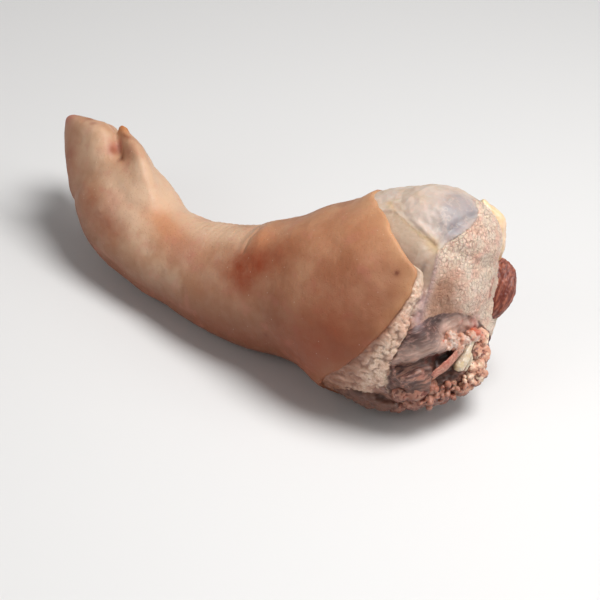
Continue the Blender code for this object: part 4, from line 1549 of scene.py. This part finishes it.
def make_flesh():
    flesh = add_object("flesh", tube_mesh("flesh", meat_rings()))
    bellies = [ball_mesh("belly", belly[:3], belly[3:]) for belly in BELLIES]
    combine(flesh, "UNION", [*bellies, cord_mesh("lip", *LIP)])
    combine(flesh, "DIFFERENCE", [cord_mesh("slit", *slit) for slit in SLITS])
    even_out(flesh, FLESH_VOXEL, 2)
    keep_outer_body(flesh)
    dress_flesh(flesh)
    settle(flesh, flesh_finish())


def add_beads(shape):
    """Small beads of fat, spread along the rim by a seeded draw."""
    chance = np.random.RandomState(BEAD_SEED)
    line = np.array(BEAD_LINE)
    for part in np.linspace(0, len(line) - 1, BEAD_COUNT):
        centre = [np.interp(part, range(len(line)), line[:, axis]) for axis in range(3)]
        centre += chance.normal(size=3) * BEAD_SPREAD * (0.5, 1.0, 1.0)
        add_ball(shape, centre, [chance.uniform(*BEAD_RADIUS)] * 3, 2)


def small_form(name, mesh, smooth_steps, finish, *dressing):
    """Make a small form of the bare end from its plain shape."""
    piece = add_object(name, mesh)
    even_out(piece, SMALL_VOXEL, smooth_steps)
    dress_small(piece, *dressing)
    settle(piece, finish)


def make_lumps():
    shape = bmesh.new()
    for *spot, radius in LUMPS:
        add_ball(shape, spot, [radius] * 3)
    add_beads(shape)
    lumps = finish_mesh("torn_lumps", shape)
    small_form("torn_lumps", lumps, 1, lump_finish(), 0.0050, 0.0009, 0.0021)
    shape = bmesh.new()
    for number, (*spot, radius) in enumerate(NODULES):
        add_ball(shape, spot, radius * np.roll(NODULE_STRETCH, number))
    nodules = finish_mesh("pale_nodules", shape)
    small_form("pale_nodules", nodules, 5, nodule_finish(), 0.0034, 0.0015, 0.0016)


def flatten_cord(mesh, places, widening):
    """Widen a cord across its run, within the torn end's face, so that it becomes a strap."""
    points, _ = points_and_normals(mesh)
    spots = leg_places(points)
    line = np.array(places)
    run = line[-1] - line[0]
    across = np.cross(run / np.linalg.norm(run), (1, 0, 0))
    across /= np.linalg.norm(across)
    t = np.clip((spots - line[0]) @ run / (run @ run), 0, 1)
    middle = np.stack([np.interp(t, np.linspace(0, 1, len(line)), line[:, i]) for i in range(3)], 1)
    off = ((spots - middle) @ across)[:, None] * across
    moved = spots + off * (widening - 1)
    world = moved @ leg_axes() + np.array(ELBOW)
    mesh.vertices.foreach_set("co", world.ravel())
    mesh.update()


def make_small_forms():
    muscle = ball_mesh("dark_muscle", DARK_BELLY[:3], DARK_BELLY[3:])
    small_form("dark_muscle", muscle, 1, muscle_finish(), MUSCLE_FIBRES, 0.0010)
    small_form("side_fat", cord_mesh("side_fat", *FAR_STRIP), 2, strip_finish(), 0.0060, 0.0008)
    shape = bmesh.new()
    shape.from_mesh(cord_mesh("gristle", *GRISTLE))
    shape.from_mesh(cord_mesh("yellow_strand", *YELLOW_STRAND))
    add_ball(shape, GRISTLE_TIP[:3], [GRISTLE_TIP[3]] * 3)
    gristle = finish_mesh("gristle", shape)
    small_form("gristle", gristle, 3, gristle_finish(), 0.0050, 0.0006)
    strap = cord_mesh("strap", *STRAP)
    flatten_cord(strap, STRAP[1], STRAP_WIDENING)
    small_form("torn_strap", strap, 1, strap_finish(), 0.0030, 0.0004)


def make_floor():
    shape = bmesh.new()
    corners = [(x * FLOOR_HALF, y * FLOOR_HALF, 0) for x, y in ((-1, -1), (1, -1), (1, 1), (-1, 1))]
    shape.faces.new([shape.verts.new(corner) for corner in corners])
    floor = add_object("floor", finish_mesh("floor", shape))
    paper = Finish("pale_floor", Roughness=0.7, Base_Color=FLOOR_COLOUR)
    floor.data.materials.append(paper.material)


def make_studio():
    make_floor()
    for name, (spot, size, power) in LIGHTS.items():
        lamp = bpy.data.lights.new(name, "AREA")
        lamp.shape = "DISK"
        lamp.size = size
        lamp.energy = power
        holder = add_object(name, lamp)
        holder.location = spot
        holder.rotation_euler = (LIGHT_TARGET - Vector(spot)).to_track_quat("-Z", "Y").to_euler()
    world = bpy.data.worlds.new("studio")
    world.use_nodes = True
    sky = world.node_tree.nodes["Background"].inputs
    sky["Color"].default_value = (1, 1, 1, 1)
    sky["Strength"].default_value = LIGHT_AROUND
    bpy.context.scene.world = world
    bpy.context.scene.view_settings.view_transform = "Standard"


def make_camera():
    """Camera at the picture's angle, placed so that the elbow falls on its pixel."""
    ahead = Vector((
        -math.sin(VIEW_TURN) * math.cos(VIEW_DOWN),
        math.cos(VIEW_TURN) * math.cos(VIEW_DOWN),
        -math.sin(VIEW_DOWN),
    ))
    level = Vector((math.cos(VIEW_TURN), math.sin(VIEW_TURN), 0))
    above = level.cross(ahead)
    right = level * math.cos(VIEW_ROLL) + above * math.sin(VIEW_ROLL)
    up = above * math.cos(VIEW_ROLL) - level * math.sin(VIEW_ROLL)
    turn = Matrix.Rotation(-REST_PITCH, 3, "Y")
    ahead, right, up = turn @ ahead, turn @ right, turn @ up
    step = PIXEL / VIEW_DISTANCE
    across = (ELBOW_PIXEL[0] - FRAME_PIXELS / 2) * step
    upward = (FRAME_PIXELS / 2 - ELBOW_PIXEL[1]) * step
    spot = ELBOW - (ahead + right * across + up * upward) * VIEW_DISTANCE
    lens = bpy.data.cameras.new("camera")
    lens.sensor_width = SENSOR
    lens.lens = SENSOR / FRAME_PIXELS / step
    camera = add_object("camera", lens)
    camera.matrix_world = Matrix((
        (right.x, up.x, -ahead.x, spot.x),
        (right.y, up.y, -ahead.y, spot.y),
        (right.z, up.z, -ahead.z, spot.z),
        (0, 0, 0, 1),
    ))
    bpy.context.scene.camera = camera


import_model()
make_camera()
make_skin()
make_fat()
make_flesh()
make_lumps()
make_small_forms()
make_studio()
